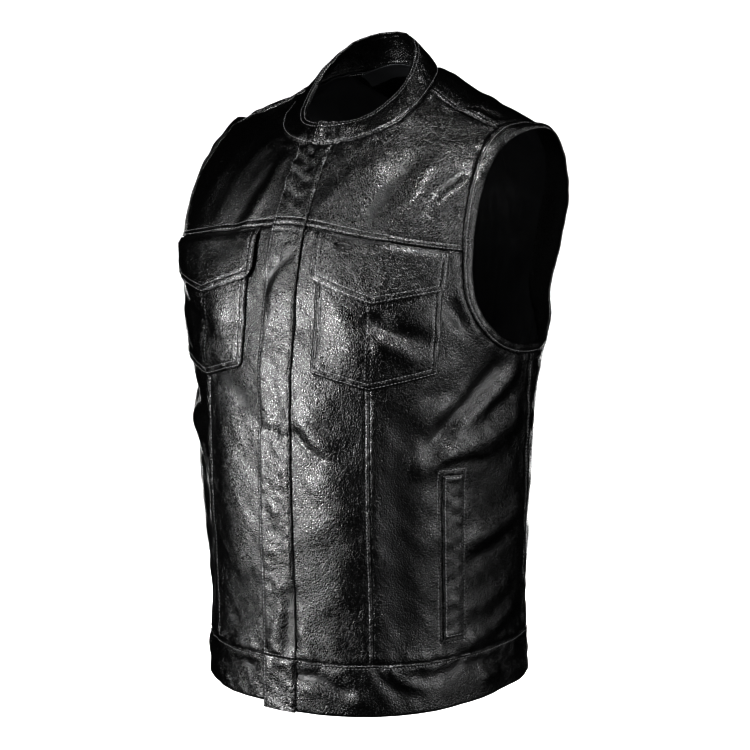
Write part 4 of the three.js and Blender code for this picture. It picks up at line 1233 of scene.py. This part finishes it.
def collar(paint):
    turn, share = collar_grid()
    points, out, crest = collar_skin(turn, share)
    made = closed_wall(
        "collar_leather", points.reshape(-1, 3), out.reshape(-1, 3), crest.reshape(-1),
        faces_of([numbered(turn)]), COLLAR["wall"], [paint], 0.8,
    )
    area, long = area_of(points), length_of(points[0]) / 1000
    return seat(made, "collar", (long, max(area / long, 0.066), area))


def facing_grid():
    across = spread(-FACING["half"], FACING["half"], SHORT_EDGE, SHORT_EDGE)
    turns = np.linspace(math.pi, QUARTER, 400)
    turn = np.interp(np.abs(across), neck_plan(NECKLINE, turns)[0], turns)
    top = neck_place(turn, True)[:, 1] - FACING["below"]
    bottom = top - FACING["deep"] * (1 - FACING["narrow"] * (across / FACING["half"]) ** 2)
    return ruled(places(across, bottom), places(across, top), steps(FACING["deep"], SHORT_EDGE, SHORT_EDGE))


def patch_grid():
    columns = spread(-PATCH["half"], PATCH["half"], SHORT_EDGE, SHORT_EDGE)
    return grid_of(columns, spread(PATCH["bottom"], PATCH["top"], SHORT_EDGE, SHORT_EDGE))


def slot_rim(paint):
    """A small cord rim round the slot in the wearer's left flap."""
    around, section = np.meshgrid(np.linspace(0, TAU, 61)[:-1], np.linspace(0, TAU, 13)[:-1])
    radius = SLOT["cord"] / 2
    reach = radius * np.cos(section)
    across = SLOT["across"] + (SLOT["long"] / 2 + reach) * np.cos(around)
    height = SLOT["height"] + (SLOT["tall"] / 2 + reach) * np.sin(around)
    base = Layer(FRONT, FRONTS["left"]["flap"].seams, FLAP_LIFT + 0.25, pocket_puff)
    points, out, _ = base.skin(across, height)
    points = points + out * (radius * np.sin(section))[..., None]
    made = make_object("flap_slot_cord", points.reshape(-1, 3), [tube_faces(around)[:, ::-1]], [paint])
    return seat(made, "flap_slot_rim")


# One stitch: rings of a short thread, along, thickness and how deep its ends go in
STITCH_RINGS = ((-0.5, 0.5, -0.34), (-0.3, 1.0, 0.0), (0.3, 1.0, 0.0), (0.5, 0.5, -0.34))
STITCH_SIDES = 5
STITCH_SPACING = 0.7  # between the points of the lines that they follow


def stitches(name, runs, paint):
    """Threads along lines of points that lie on the cloth, each line with its outward directions."""
    sewing = bpy.context.scene.vest_sewing
    random = np.random.default_rng(len(name))
    centres, aheads, outs = [], [], []
    for points, out in runs:
        arc = arc_of(points)
        count = int(arc[-1] // sewing.pitch)
        if count < 2:
            continue
        at = (np.arange(count) + 0.5) * arc[-1] / count + random.uniform(-0.15, 0.15, count)
        sample = lambda values, where: np.stack([np.interp(where, arc, values[:, k]) for k in range(3)], -1)
        centres.append(sample(points, at))
        aheads.append(unit(sample(points, at + 0.8) - sample(points, at - 0.8)))
        outs.append(unit(sample(out, at)))
    centre, ahead, out = (np.concatenate(rows) for rows in (centres, aheads, outs))
    aside = unit(np.cross(ahead, out))
    ahead = unit(ahead + aside * random.uniform(-0.07, 0.07, (len(ahead), 1)))
    long = sewing.length * random.uniform(0.92, 1.08, (len(centre), 1, 1))
    radius = sewing.thickness / 2
    turns = (np.arange(STITCH_SIDES) * TAU / STITCH_SIDES)[None, :, None]
    spoke = np.cos(turns) * aside[:, None] + np.sin(turns) * out[:, None]
    rings = []
    for place, wide, sunk in STITCH_RINGS:
        ring = centre[:, None] + ahead[:, None] * place * long + out[:, None] * (radius * 0.55 + sunk)
        rings.append(ring + spoke * wide * radius)
    points = np.stack(rings, axis=1).reshape(-1, 3)
    per = len(STITCH_RINGS) * STITCH_SIDES
    number = np.arange(per).reshape(len(STITCH_RINGS), STITCH_SIDES)
    ring = np.concatenate([number, number[:, :1]], axis=1)
    quads = faces_of([ring])
    caps = np.stack([number[0], number[-1, ::-1]])
    start = np.arange(len(centre))[:, None, None] * per
    faces = [(some[None] + start).reshape(-1, some.shape[1])[:, ::-1] for some in (quads, caps)]
    made = make_object(name, points, faces, [paint])
    return seat(made, None)


def run_on(layer, line, side=1):
    """Points and outward directions on a layer along a line of places, mirrored for the wearer's right."""
    count = max(3, int(length_of(line) / STITCH_SPACING))
    place = handed(along(line, np.linspace(0, 1, count)), side)
    return layer.skin(place[:, 0], place[:, 1])[:2]


def level_run(layer, start, end, height, side=1):
    return run_on(layer, [(start, height), (end, height)], side)


def upright_run(layer, across, low, high, side=1):
    return run_on(layer, [(across, low), (across, high)], side)


def outline_inside(shape, inset, top):
    """A line inside a flap's or pocket's edge, from its top round the point and up again."""
    columns = np.linspace(shape["inner"] + inset, shape["outer"] - inset, 90)
    edge = np.where(columns < PRINCESS, shape["inner"], shape["outer"])
    wide, tall = np.abs(PRINCESS - edge), shape["side"] - shape["point"]
    foot = pointed_line(shape, columns) + inset * np.hypot(wide, tall) / wide
    rows = np.stack([columns, foot], -1)
    return np.concatenate([[[columns[0], top]], rows, [[columns[-1], top]]])


def front_runs():
    """Lines of stitches on the fronts' panels, the placket, the hem bands and the back's seams."""
    runs = []
    for name, side in SIDES:
        layers = FRONTS[name]
        yoke_end = seam_place([AT_YOKE], False)[0, 0] - 3
        neck_end = neck_place(np.array([AT_NECK]), True)[0, 0] + 1
        shoulder_end = seam_place([AT_SHOULDER], True)[0, 0] - 2
        reach = 1 if side < 0 else PLACKET + 1
        across = PRINCESS - SEAM_LINE
        runs.append(upright_run(layers["centre"], across, HEM_BAND + 2, POCKET["point"] - 1, side))
        for high in DOUBLE_LINES:
            runs.append(level_run(layers["yoke"], PLACKET + 1, yoke_end, YOKE_SEAM + high, side))
            runs.append(level_run(BACK_LAYER, neck_end, shoulder_end, BACK_TOP - high, side))
        runs.append(level_run(layers["hem"], reach, side_seam(HEM_BAND), HEM_BAND - SEAM_LINE, side))
        runs.append(level_run(HEM_BACK_LAYER, 0, side_seam(HEM_BAND, True), HEM_BAND - SEAM_LINE, side))
        heights = np.linspace(2, SIDE_SEAM["height"][-1] - 8, 80)[12:]
        runs.append(run_on(BACK_LAYER, places(side_seam(heights, True) - 3, heights), side))
    top = placket_grids()["yoke"][-1][:, 1].min() - 2
    runs.append(upright_run(PLACKET_LAYER, -PLACKET + FRONT_EDGE_LINE, 1, top))
    for height in (*(YOKE_SEAM + high for high in DOUBLE_LINES), HEM_BAND + 3):
        runs.append(level_run(PLACKET_LAYER, 1 - PLACKET, PLACKET - 1, height))
    return runs


def pocket_runs():
    """Lines of stitches on the chest pockets, their flaps and the welts."""
    runs = []
    for name, side in SIDES:
        layers = FRONTS[name]
        for inset in POCKET_LINES:
            runs.append(run_on(layers["pocket"], outline_inside(POCKET, inset, FLAP["side"] + 6), side))
            runs.append(run_on(layers["flap"], outline_inside(FLAP, inset, FLAP["top"] - 3), side))
        across = PRINCESS - SEAM_LINE
        runs.append(upright_run(layers["pocket"], across, POCKET["point"] + 10, FLAP["point"], side))
        inner, outer, bottom, top = (WELT[key] for key in ("inner", "outer", "bottom", "top"))
        left, right = inner - WELT_FRAME, outer + WELT_FRAME
        low, high = bottom - WELT_FRAME, top + WELT_FRAME
        frame_line = [(left, low), (right, low), (right, high), (left, high), (left, low)]
        runs.append(run_on(layers["side"], frame_line, side))
        runs.append(upright_run(layers["welt"], inner + WELT_LINE, bottom + 1, top - 1, side))
        for height in (bottom + WELT_LINE, top - WELT_LINE):
            runs.append(level_run(layers["welt"], inner + 2, outer - 1, height, side))
    return runs


def edge_runs():
    """Lines of stitches round the armholes and on the collar."""
    runs = []
    turns = np.linspace(AT_SHOULDER, TAU + AT_SHOULDER, 900)
    for name, side in SIDES:
        bare, out, crest = band_skin(turns, np.full(len(turns), BAND_LINE), side)
        d, t = SEAMS[f"armhole_{name}"].measure(bare)
        crest = crest + SEAMS[f"armhole_{name}"].drawn(d, t) + 0.55
        runs.append((bare + out * crest[:, None], out))
    start, end = collar_ends()
    turns = np.linspace(start + 0.03, end - 0.03, 900)
    tall = np.linalg.norm(collar_rim(turns) - collar_seat(turns), axis=-1)
    for above in (FRONT_EDGE_LINE, tall - RIM_LINES[1], tall - RIM_LINES[0]):
        runs.append(collar_skin(turns, above / tall)[:2])
    turn = start + FRONT_EDGE_LINE / COLLAR_REACH
    runs.append(collar_skin(np.full(60, turn), np.linspace(0.06, 0.94, 60))[:2])
    return runs


class Wire:
    """A shader socket that takes part in sums written as Python expressions."""

    def __init__(self, tree, socket):
        self.tree, self.socket = tree, socket

    def maths(self, operation, *values, clamp=False):
        node = self.tree.nodes.new("ShaderNodeMath")
        node.operation = operation
        node.use_clamp = clamp
        for k, value in enumerate(values):
            plug(self.tree, value, node.inputs[k])
        return Wire(self.tree, node.outputs[0])

    def __add__(self, other):
        return self.maths("ADD", self, other)

    def __radd__(self, other):
        return self.maths("ADD", other, self)

    def __sub__(self, other):
        return self.maths("SUBTRACT", self, other)

    def __rsub__(self, other):
        return self.maths("SUBTRACT", other, self)

    def __mul__(self, other):
        return self.maths("MULTIPLY", self, other)

    def __rmul__(self, other):
        return self.maths("MULTIPLY", other, self)

    def __truediv__(self, other):
        return self.maths("DIVIDE", self, other)

    def __rtruediv__(self, other):
        return self.maths("DIVIDE", other, self)

    def clipped(self):
        return self.maths("ADD", self, 0.0, clamp=True)

    def ramp(self, low, high):
        """Smoothly from 0 at low to 1 at high."""
        t = ((self - low) / (high - low)).clipped()
        return t * t * (3 - 2 * t)


def plug(tree, value, socket):
    if isinstance(value, Wire):
        tree.links.new(value.socket, socket)
    else:
        socket.default_value = value


class Paint:
    """A new material and the nodes that make it up."""

    def __init__(self, name):
        self.made = bpy.data.materials.new(name)
        self.made.use_nodes = True
        self.tree = self.made.node_tree
        self.tree.nodes.clear()

    def node(self, kind, settings=None, values=None, output=0):
        """A node with its settings first, then the values or links of its sockets by name or number."""
        node = self.tree.nodes.new(kind)
        for key, value in (settings or {}).items():
            setattr(node, key, value)
        for key, value in (values or {}).items():
            plug(self.tree, value, node.inputs[key])
        return Wire(self.tree, node.outputs[output]) if output is not None else None

    def vector(self, operation, *values, scale=None):
        sockets = dict(enumerate(values))
        if scale is not None:
            sockets["Scale"] = scale
        return self.node("ShaderNodeVectorMath", {"operation": operation}, sockets)

    def coordinates(self):
        """Places on the object in millimetres."""
        return self.vector("SCALE", self.node("ShaderNodeTexCoord", output="Object"), scale=1000.0)

    def moved(self, place, size, amount):
        """Places shifted aside by an uneven field, so that cells aren't regular."""
        field = self.noise(place, size, 1.0, "Color")
        shift = self.vector("SCALE", self.vector("SUBTRACT", field, (0.5, 0.5, 0.5)), scale=amount)
        return self.vector("ADD", place, shift)

    def noise(self, place, size, detail=2.0, output=0):
        values = {"Vector": place, "Scale": 1 / size, "Detail": detail}
        return self.node("ShaderNodeTexNoise", None, values, output)

    def cells(self, place, size, feature="F1"):
        values = {"Vector": place, "Scale": 1 / size}
        return self.node("ShaderNodeTexVoronoi", {"feature": feature}, values, "Distance")

    def bands(self, place, scale, direction, distortion=0.0):
        values = {"Vector": place, "Scale": scale, "Distortion": distortion}
        return self.node("ShaderNodeTexWave", {"bands_direction": direction}, values, 1)

    def colour(self, share, low, high):
        """A colour between two, given as linear red, green and blue."""
        return self.node("ShaderNodeMix", {"data_type": "RGBA"}, {0: share, 6: (*low, 1), 7: (*high, 1)}, 2)

    def finish(self, colour, roughness, height=None, depth=0.0002, fixed=None):
        """The material with this colour, roughness and relief, and settings that are the same all over."""
        values = {**(fixed or {}), "Base Color": colour, "Roughness": roughness}
        if height is not None:
            values["Normal"] = self.node("ShaderNodeBump", None, {"Distance": depth, "Height": height})
        shader = self.node("ShaderNodeBsdfPrincipled", None, values)
        self.node("ShaderNodeOutputMaterial", None, {"Surface": shader}, None)
        return self.made


def leather(name, coarse=1.0, depth=1.0):
    """Black pebbled leather: domed grains of two sizes with creases between them."""
    look = bpy.context.scene.vest_leather
    paint = Paint(name)
    place = paint.coordinates()
    bent = paint.moved(place, 4.5, 1.7)
    grain = look.grain * coarse
    centre = paint.cells(bent, grain)
    dome = 1 - centre * centre
    crease = paint.cells(bent, grain, "DISTANCE_TO_EDGE").ramp(0.0, 0.22)
    small = 1 - paint.cells(bent, grain * 0.42)
    swell = paint.noise(place, grain * 2.6, 3.0)
    patches = paint.noise(place, 38.0, 3.0)
    crest = paint.node("ShaderNodeAttribute", {"attribute_name": "crest"}, None, "Fac")
    worn = (crest.ramp(0.4, 4.5) * 0.6 + patches.ramp(0.45, 0.75) * 0.4).clipped()
    groove = 1 - crest.ramp(-2.2, -0.2)
    height = (0.7 * dome + 0.22 * crease) * (0.75 + 0.4 * patches) + 0.15 * small + 0.35 * swell
    colour = paint.colour(worn * 0.7 + 0.3 * dome, look.deep, look.worn)
    roughness = look.roughness + 0.1 * (1 - crease) + 0.06 * patches - look.wear * worn + 0.05 * groove
    return paint.finish(
        colour, roughness, height, look.depth * depth / 1000,
        {"IOR": 1.8, "Specular IOR Level": look.shine, "Coat Weight": look.coat, "Coat Roughness": 0.2},
    )


def satin(name, deep, light):
    """Dark woven lining with a soft shine."""
    paint = Paint(name)
    place = paint.coordinates()
    threads = paint.bands(place, 1.6, "Z", 1.5)
    cloudy = paint.noise(place, 16.0, 2.0)
    colour = paint.colour(cloudy, deep, light)
    return paint.finish(
        colour, 0.3 + 0.12 * cloudy, 0.3 * threads + cloudy, 0.00012, {"IOR": 1.7, "Specular IOR Level": 0.8},
    )


def thread_with_painted_highlight(name):
    paint = Paint(name)
    place = paint.coordinates()
    twist_and_glint = paint.bands(place, 2.2, "DIAGONAL")
    sewing = bpy.context.scene.vest_sewing
    # Painted highlight: the thread is black, and these grey colours, lighter still along the twist, make the
    # stitches read as lit dashes.
    colour = paint.colour(twist_and_glint, sewing.deep, sewing.pale)
    return paint.finish(colour, 0.33 + 0.1 * twist_and_glint, twist_and_glint, 0.00008, {"Specular IOR Level": 0.8})


def pale(name, shade):
    """Plain matt stage finish."""
    paint = Paint(name)
    place = paint.coordinates()
    colour = paint.colour(paint.noise(place, 900.0), (shade,) * 3, (shade * 0.985,) * 3)
    return paint.finish(colour, 0.9, fixed={"Specular IOR Level": 0.1})


PAINTS = {}


def paint_for(slot):
    """The material of a kind of surface, made when it is first asked for."""
    inside = bpy.context.scene.vest_lining
    makers = {
        "leather": lambda: leather("leather"),
        "trim": lambda: leather("trim_leather", 0.8, 0.75),
        "rim": lambda: leather("slot_cord", 0.3, 0.3),
        "lining": lambda: satin("satin_lining", inside.deep, inside.pale),
        "patch": lambda: satin("woven_patch", inside.patch_deep, inside.patch_pale),
        "thread": lambda: thread_with_painted_highlight("thread"),
    }
    if slot not in PAINTS:
        PAINTS[slot] = makers[slot]()
    return PAINTS[slot]


class VEST_PG_leather(bpy.types.PropertyGroup):
    """Look of the leather"""

    deep: bpy.props.FloatVectorProperty(
        name="Colour", description="Colour of the leather between its grains",
        default=(0.0008, 0.0008, 0.001), min=0, max=1, subtype="COLOR")
    worn: bpy.props.FloatVectorProperty(
        name="Worn colour", description="Colour of the leather on worn crests",
        default=(0.0042, 0.0042, 0.0045), min=0, max=1, subtype="COLOR")
    grain: bpy.props.FloatProperty(
        name="Grain size", description="Width of one grain in millimetres", default=1.75, min=0.3)
    depth: bpy.props.FloatProperty(
        name="Grain depth", description="Height of the grains in millimetres", default=0.44, min=0)
    roughness: bpy.props.FloatProperty(
        name="Roughness", description="Roughness of the leather's face", default=0.21, min=0, max=1)
    wear: bpy.props.FloatProperty(
        name="Wear", description="How much smoother the creases' crests are", default=0.09, min=0, max=1)
    shine: bpy.props.FloatProperty(
        name="Shine", description="Strength of the leather's reflection", default=1.0, min=0, max=1)
    coat: bpy.props.FloatProperty(
        name="Finish", description="Weight of the clear finish on the leather", default=0.04, min=0, max=1)


class VEST_PG_lining(bpy.types.PropertyGroup):
    """Look of the lining and of the patch in the neck"""

    deep: bpy.props.FloatVectorProperty(
        name="Colour", description="Darker colour of the satin",
        default=(0.014, 0.0145, 0.0162), min=0, max=1, subtype="COLOR")
    pale: bpy.props.FloatVectorProperty(
        name="Sheen", description="Lighter colour of the satin",
        default=(0.05, 0.052, 0.057), min=0, max=1, subtype="COLOR")
    patch_deep: bpy.props.FloatVectorProperty(
        name="Patch colour", description="Darker colour of the patch",
        default=(0.05, 0.052, 0.056), min=0, max=1, subtype="COLOR")
    patch_pale: bpy.props.FloatVectorProperty(
        name="Patch sheen", description="Lighter colour of the patch",
        default=(0.08, 0.084, 0.09), min=0, max=1, subtype="COLOR")


class VEST_PG_sewing(bpy.types.PropertyGroup):
    """Sizes and colours of the stitches"""

    pitch: bpy.props.FloatProperty(
        name="Pitch", description="Millimetres from stitch to stitch", default=3.6, min=1)
    length: bpy.props.FloatProperty(
        name="Length", description="Millimetres of thread that show", default=2.7, min=0.5)
    thickness: bpy.props.FloatProperty(
        name="Thickness", description="Thickness of the thread in millimetres", default=0.66, min=0.1)
    # Both thread colours are painted highlight on black thread; the lighter one shows along the twist.
    deep: bpy.props.FloatVectorProperty(
        name="Colour", description="Darker colour of the thread",
        default=(0.2, 0.2, 0.202), min=0, max=1, subtype="COLOR")
    pale: bpy.props.FloatVectorProperty(
        name="Highlight", description="Lighter colour of the thread",
        default=(0.48, 0.48, 0.485), min=0, max=1, subtype="COLOR")


class VEST_PG_studio(bpy.types.PropertyGroup):
    """Camera and lights"""

    azimuth: bpy.props.FloatProperty(
        name="Azimuth", description="Camera's angle round to the wearer's left",
        default=math.radians(32.9), subtype="ANGLE")
    elevation: bpy.props.FloatProperty(
        name="Elevation", description="Camera's angle above level",
        default=math.radians(8.5), subtype="ANGLE")
    distance: bpy.props.FloatProperty(
        name="Distance", description="From the camera to the vest's middle", default=2.04, unit="LENGTH")
    lens: bpy.props.FloatProperty(
        name="Lens", description="Focal length for a sensor 36 mm wide", default=93.22)
    power: bpy.props.FloatProperty(
        name="Lights", description="Share of the lights' power", default=1.2, min=0)
    world: bpy.props.FloatProperty(
        name="Surroundings", description="Strength of the pale surroundings", default=0.98, min=0)
    floor: bpy.props.FloatProperty(
        name="Floor", description="Depth of the floor below the hem", default=0.5, unit="LENGTH")


class Piece(bpy.types.Operator):
    """Shared settings of the vest's operators"""

    bl_options = {"REGISTER", "UNDO"}


class VEST_OT_fronts(Piece):
    """Makes the leather panels of both fronts"""

    bl_idname = "vest.fronts"
    bl_label = "Front panels"

    def execute(self, context):
        paints = [paint_for("leather"), paint_for("lining")]
        grids = {"centre": front_centre_grid(), "side": front_side_grid(), "yoke": front_yoke_grid()}
        for name, side in SIDES:
            for part, grid in grids.items():
                own, layer = [handed(grid, side)], FRONTS[name][part]
                piece(f"front_{part}_{name}", layer, own, SKIN, paints)
        return {"FINISHED"}


class VEST_OT_back(Piece):
    """Makes the back and the lining that shows inside it"""

    bl_idname = "vest.back"
    bl_label = "Back"

    def execute(self, context):
        grids = back_grids(3.6, EDGE)
        cut = cut_of(BACK, grids)
        made = shell("back_leather", BACK_LAYER, grids, SKIN, [paint_for("leather"), paint_for("lining")])
        seat(made, "back", cut)
        grids = back_grids(4.8, SHORT_EDGE)
        made = shell("back_satin", LINING_LAYER, grids, LINING_WALL, [paint_for("lining")])
        seat(made, "back_lining", cut)
        return {"FINISHED"}


class VEST_OT_hem(Piece):
    """Makes the three lengths of the hem band"""

    bl_idname = "vest.hem"
    bl_label = "Hem bands"

    def execute(self, context):
        paints = [paint_for("leather"), paint_for("lining")]
        for name, side in SIDES:
            own, layer = [handed(hem_front_grid(side), side)], FRONTS[name]["hem"]
            piece(f"hem_band_front_{name}", layer, own, SKIN, paints, HEM_BULGE)
        own = [hem_back_grid()]
        piece("hem_band_back", HEM_BACK_LAYER, own, SKIN, paints, HEM_BULGE)
        return {"FINISHED"}


class VEST_OT_placket(Piece):
    """Makes the strip that covers the front opening"""

    bl_idname = "vest.placket"
    bl_label = "Placket"

    def execute(self, context):
        for name, grid in placket_grids().items():
            paints, rests_on = [paint_for("leather")], ("front_centre_left",)
            node = f"placket_{name}"
            piece(node, PLACKET_LAYER, [grid], TRIM_WALL, paints, TRIM_BULGE)
        return {"FINISHED"}


class VEST_OT_chest_pockets(Piece):
    """Makes the chest pockets, their flaps and the rim of the slot"""

    bl_idname = "vest.chest_pockets"
    bl_label = "Chest pockets"

    def execute(self, context):
        for name, side in SIDES:
            for part, shape, top in (("pocket", POCKET, SHORT_EDGE), ("flap", FLAP, EDGE)):
                own, layer = [handed(pointed_grid(shape, top), side)], FRONTS[name][part]
                paints, rests_on = [paint_for("leather")], (f"front_centre_{name}",)
                node = f"chest_{part}_{name}"
                piece(node, layer, own, TRIM_WALL, paints, TRIM_BULGE)
        slot_rim(paint_for("rim"))
        return {"FINISHED"}


class VEST_OT_welts(Piece):
    """Makes the upright welts of the lower pockets"""

    bl_idname = "vest.welts"
    bl_label = "Welts"

    def execute(self, context):
        for name, side in SIDES:
            own, layer = [handed(welt_grid(), side)], FRONTS[name]["welt"]
            paints, rests_on = [paint_for("trim")], (f"front_side_{name}",)
            node = f"welt_pocket_{name}"
            piece(node, layer, own, TRIM_WALL, paints, TRIM_BULGE)
        return {"FINISHED"}


class VEST_OT_armholes(Piece):
    """Makes the strips that bind the armholes"""

    bl_idname = "vest.armholes"
    bl_label = "Armhole bands"

    def execute(self, context):
        for name, side in SIDES:
            armhole_band(name, side, paint_for("trim"))
        return {"FINISHED"}


class VEST_OT_collar(Piece):
    """Makes the stand collar"""

    bl_idname = "vest.collar"
    bl_label = "Collar"

    def execute(self, context):
        collar(paint_for("leather"))
        return {"FINISHED"}


class VEST_OT_neck_inside(Piece):
    """Makes the facing inside the back of the neck and the bare patch sewn on it"""

    bl_idname = "vest.neck_inside"
    bl_label = "Neck inside"

    def execute(self, context):
        for node, grid, depth, wall, slot, kind in (
            ("back_neck_facing", facing_grid(), 5.7, 1.4, "leather", "leather"),
            ("neck_patch", patch_grid(), 7.9, 1.0, "lining", "patch"),
        ):
            layer, paints = Layer(BACK, (), -depth), [paint_for(kind)]
            piece(node, layer, [grid], wall, paints, stuff="cloth")
        return {"FINISHED"}


class VEST_OT_stitches(Piece):
    """Makes the threads along the seams and edges"""

    bl_idname = "vest.stitches"
    bl_label = "Stitches"

    def execute(self, context):
        for name, runs in (("front", front_runs()), ("pocket", pocket_runs()), ("edge", edge_runs())):
            stitches(f"{name}_threads", runs, paint_for("thread"))
        return {"FINISHED"}


class VEST_OT_studio(Piece):
    """Makes the pale floor and backdrop, the lights and the camera"""

    bl_idname = "vest.studio"
    bl_label = "Studio"

    def execute(self, context):
        studio = context.scene.vest_studio
        ground = -NECK_POINT / 1000 - studio.floor
        sweep(studio.azimuth, ground)
        turn, tilt = studio.azimuth, studio.elevation
        right = Vector((math.cos(turn), math.sin(turn), 0))
        back = Vector((math.sin(turn) * math.cos(tilt), -math.cos(turn) * math.cos(tilt), math.sin(tilt)))
        middle = Vector((0, 0, MIDDLE)) - ASIDE * right
        camera = bpy.data.objects.new("camera", bpy.data.cameras.new("camera"))
        camera.data.sensor_width = 36
        camera.data.lens = studio.lens
        camera.data.clip_end = 60
        camera.matrix_world = looking(middle + studio.distance * back, back, right)
        context.scene.collection.objects.link(camera)
        context.scene.camera = camera
        ahead = Vector((math.sin(turn), -math.cos(turn), 0))
        for name, across, forward, up, wide, tall, power in LIGHTS:
            place = middle + across * right + forward * ahead + Vector((0, 0, up))
            soft_light(name, place, middle, (wide, tall), power * studio.power)
        world = bpy.data.worlds.new("studio")
        world.use_nodes = True
        shade = world.node_tree.nodes["Background"]
        shade.inputs["Color"].default_value = (1, 1, 1, 1)
        shade.inputs["Strength"].default_value = studio.world
        world.cycles_visibility.glossy = False
        context.scene.world = world
        context.scene.view_settings.view_transform = "Standard"
        context.scene.view_settings.gamma = GAMMA
        return {"FINISHED"}


MIDDLE, ASIDE = -0.308, 0.0071  # what the camera looks at, in metres: its height, and how far to the left
GAMMA = 0.53

# Soft lights: how far right of the vest's middle, towards the camera and up, their size and power
LIGHTS = (
    ("front_light", -2.0, 1.2, -0.15, 0.7, 1.1, 48),
    ("brow_light", -1.7, 1.0, 1.2, 0.5, 0.45, 10),
    ("side_light", 1.8, 1.2, 0.1, 1.2, 1.5, 25),
    ("top_light", 0.3, 1.0, 1.85, 0.45, 0.4, 26),
    ("back_light", 0.1, -2.5, -0.3, 2.2, 1.0, 40),
)


# The backdrop in metres: where its floor starts and ends, the bend up, its top and half its width
SWEEP = {"near": -6.0, "flat": 2.2, "round": 1.6, "top": 6.5, "half": 7}


def looking(place, back, right):
    """Matrix of a camera or light at a place that looks along minus back."""
    up = back.cross(right)
    made = Matrix((right, up, back)).transposed().to_4x4()
    made.translation = place
    return made


def soft_light(name, place, target, size, power):
    lamp = bpy.data.lights.new(name, "AREA")
    lamp.shape = "RECTANGLE"
    lamp.size, lamp.size_y = size
    lamp.energy = power
    back = (place - target).normalized()
    right = Vector((0, 0, 1)).cross(back).normalized()
    made = bpy.data.objects.new(name, lamp)
    made.matrix_world = looking(place, back, right)
    bpy.context.scene.collection.objects.link(made)


def sweep(azimuth, ground):
    """A pale floor that curves up into a backdrop behind the vest."""
    flat, bend, half = SWEEP["flat"], SWEEP["round"], SWEEP["half"]
    turns = np.linspace(0, QUARTER, 24)[1:]
    profile = [(SWEEP["near"], 0.0), (flat, 0.0)]
    profile += [(flat + bend * math.sin(t), bend - bend * math.cos(t)) for t in turns]
    profile += [(flat + bend, SWEEP["top"])]
    away = np.array([-math.sin(azimuth), math.cos(azimuth), 0])
    right = np.array([math.cos(azimuth), math.sin(azimuth), 0])
    up = np.array([0, 0, 1])
    rows = [away * far + right * x + up * (ground + high) for far, high in profile for x in (-half, half)]
    points = np.array(rows) * 1000 + up * NECK_POINT
    number = np.arange(len(points)).reshape(len(profile), 2)
    made = make_object("floor", points, [faces_of([number])], [pale("backdrop", 0.86)], worn=False)
    made.visible_glossy = False


SETTINGS = {
    "vest_leather": VEST_PG_leather, "vest_lining": VEST_PG_lining,
    "vest_sewing": VEST_PG_sewing, "vest_studio": VEST_PG_studio,
}
OPERATORS = (
    VEST_OT_fronts, VEST_OT_back, VEST_OT_hem, VEST_OT_placket, VEST_OT_chest_pockets, VEST_OT_welts,
    VEST_OT_armholes, VEST_OT_collar, VEST_OT_neck_inside, VEST_OT_stitches, VEST_OT_studio,
)


class VEST_PT_panel(bpy.types.Panel):
    """The vest's pieces and settings"""

    bl_idname = "VEST_PT_panel"
    bl_label = "Vest"
    bl_space_type = "VIEW_3D"
    bl_region_type = "UI"
    bl_category = "Vest"

    def draw(self, context):
        for group, kind in SETTINGS.items():
            box = self.layout.box()
            for name in kind.__annotations__:
                box.prop(getattr(context.scene, group), name)
        for kind in OPERATORS:
            self.layout.operator(kind.bl_idname)


def register():
    for kind in (*SETTINGS.values(), *OPERATORS, VEST_PT_panel):
        bpy.utils.register_class(kind)
    for name, kind in SETTINGS.items():
        setattr(bpy.types.Scene, name, bpy.props.PointerProperty(type=kind))


def unregister():
    for name in SETTINGS:
        delattr(bpy.types.Scene, name)
    for kind in (VEST_PT_panel, *reversed(OPERATORS), *SETTINGS.values()):
        bpy.utils.unregister_class(kind)


def main():
    register()
    bpy.ops.vest.fronts()
    bpy.ops.vest.back()
    bpy.ops.vest.hem()
    bpy.ops.vest.placket()
    bpy.ops.vest.chest_pockets()
    bpy.ops.vest.welts()
    bpy.ops.vest.armholes()
    bpy.ops.vest.collar()
    bpy.ops.vest.neck_inside()
    bpy.ops.vest.stitches()
    bpy.ops.vest.studio()


if __name__ == "__main__":
    main()
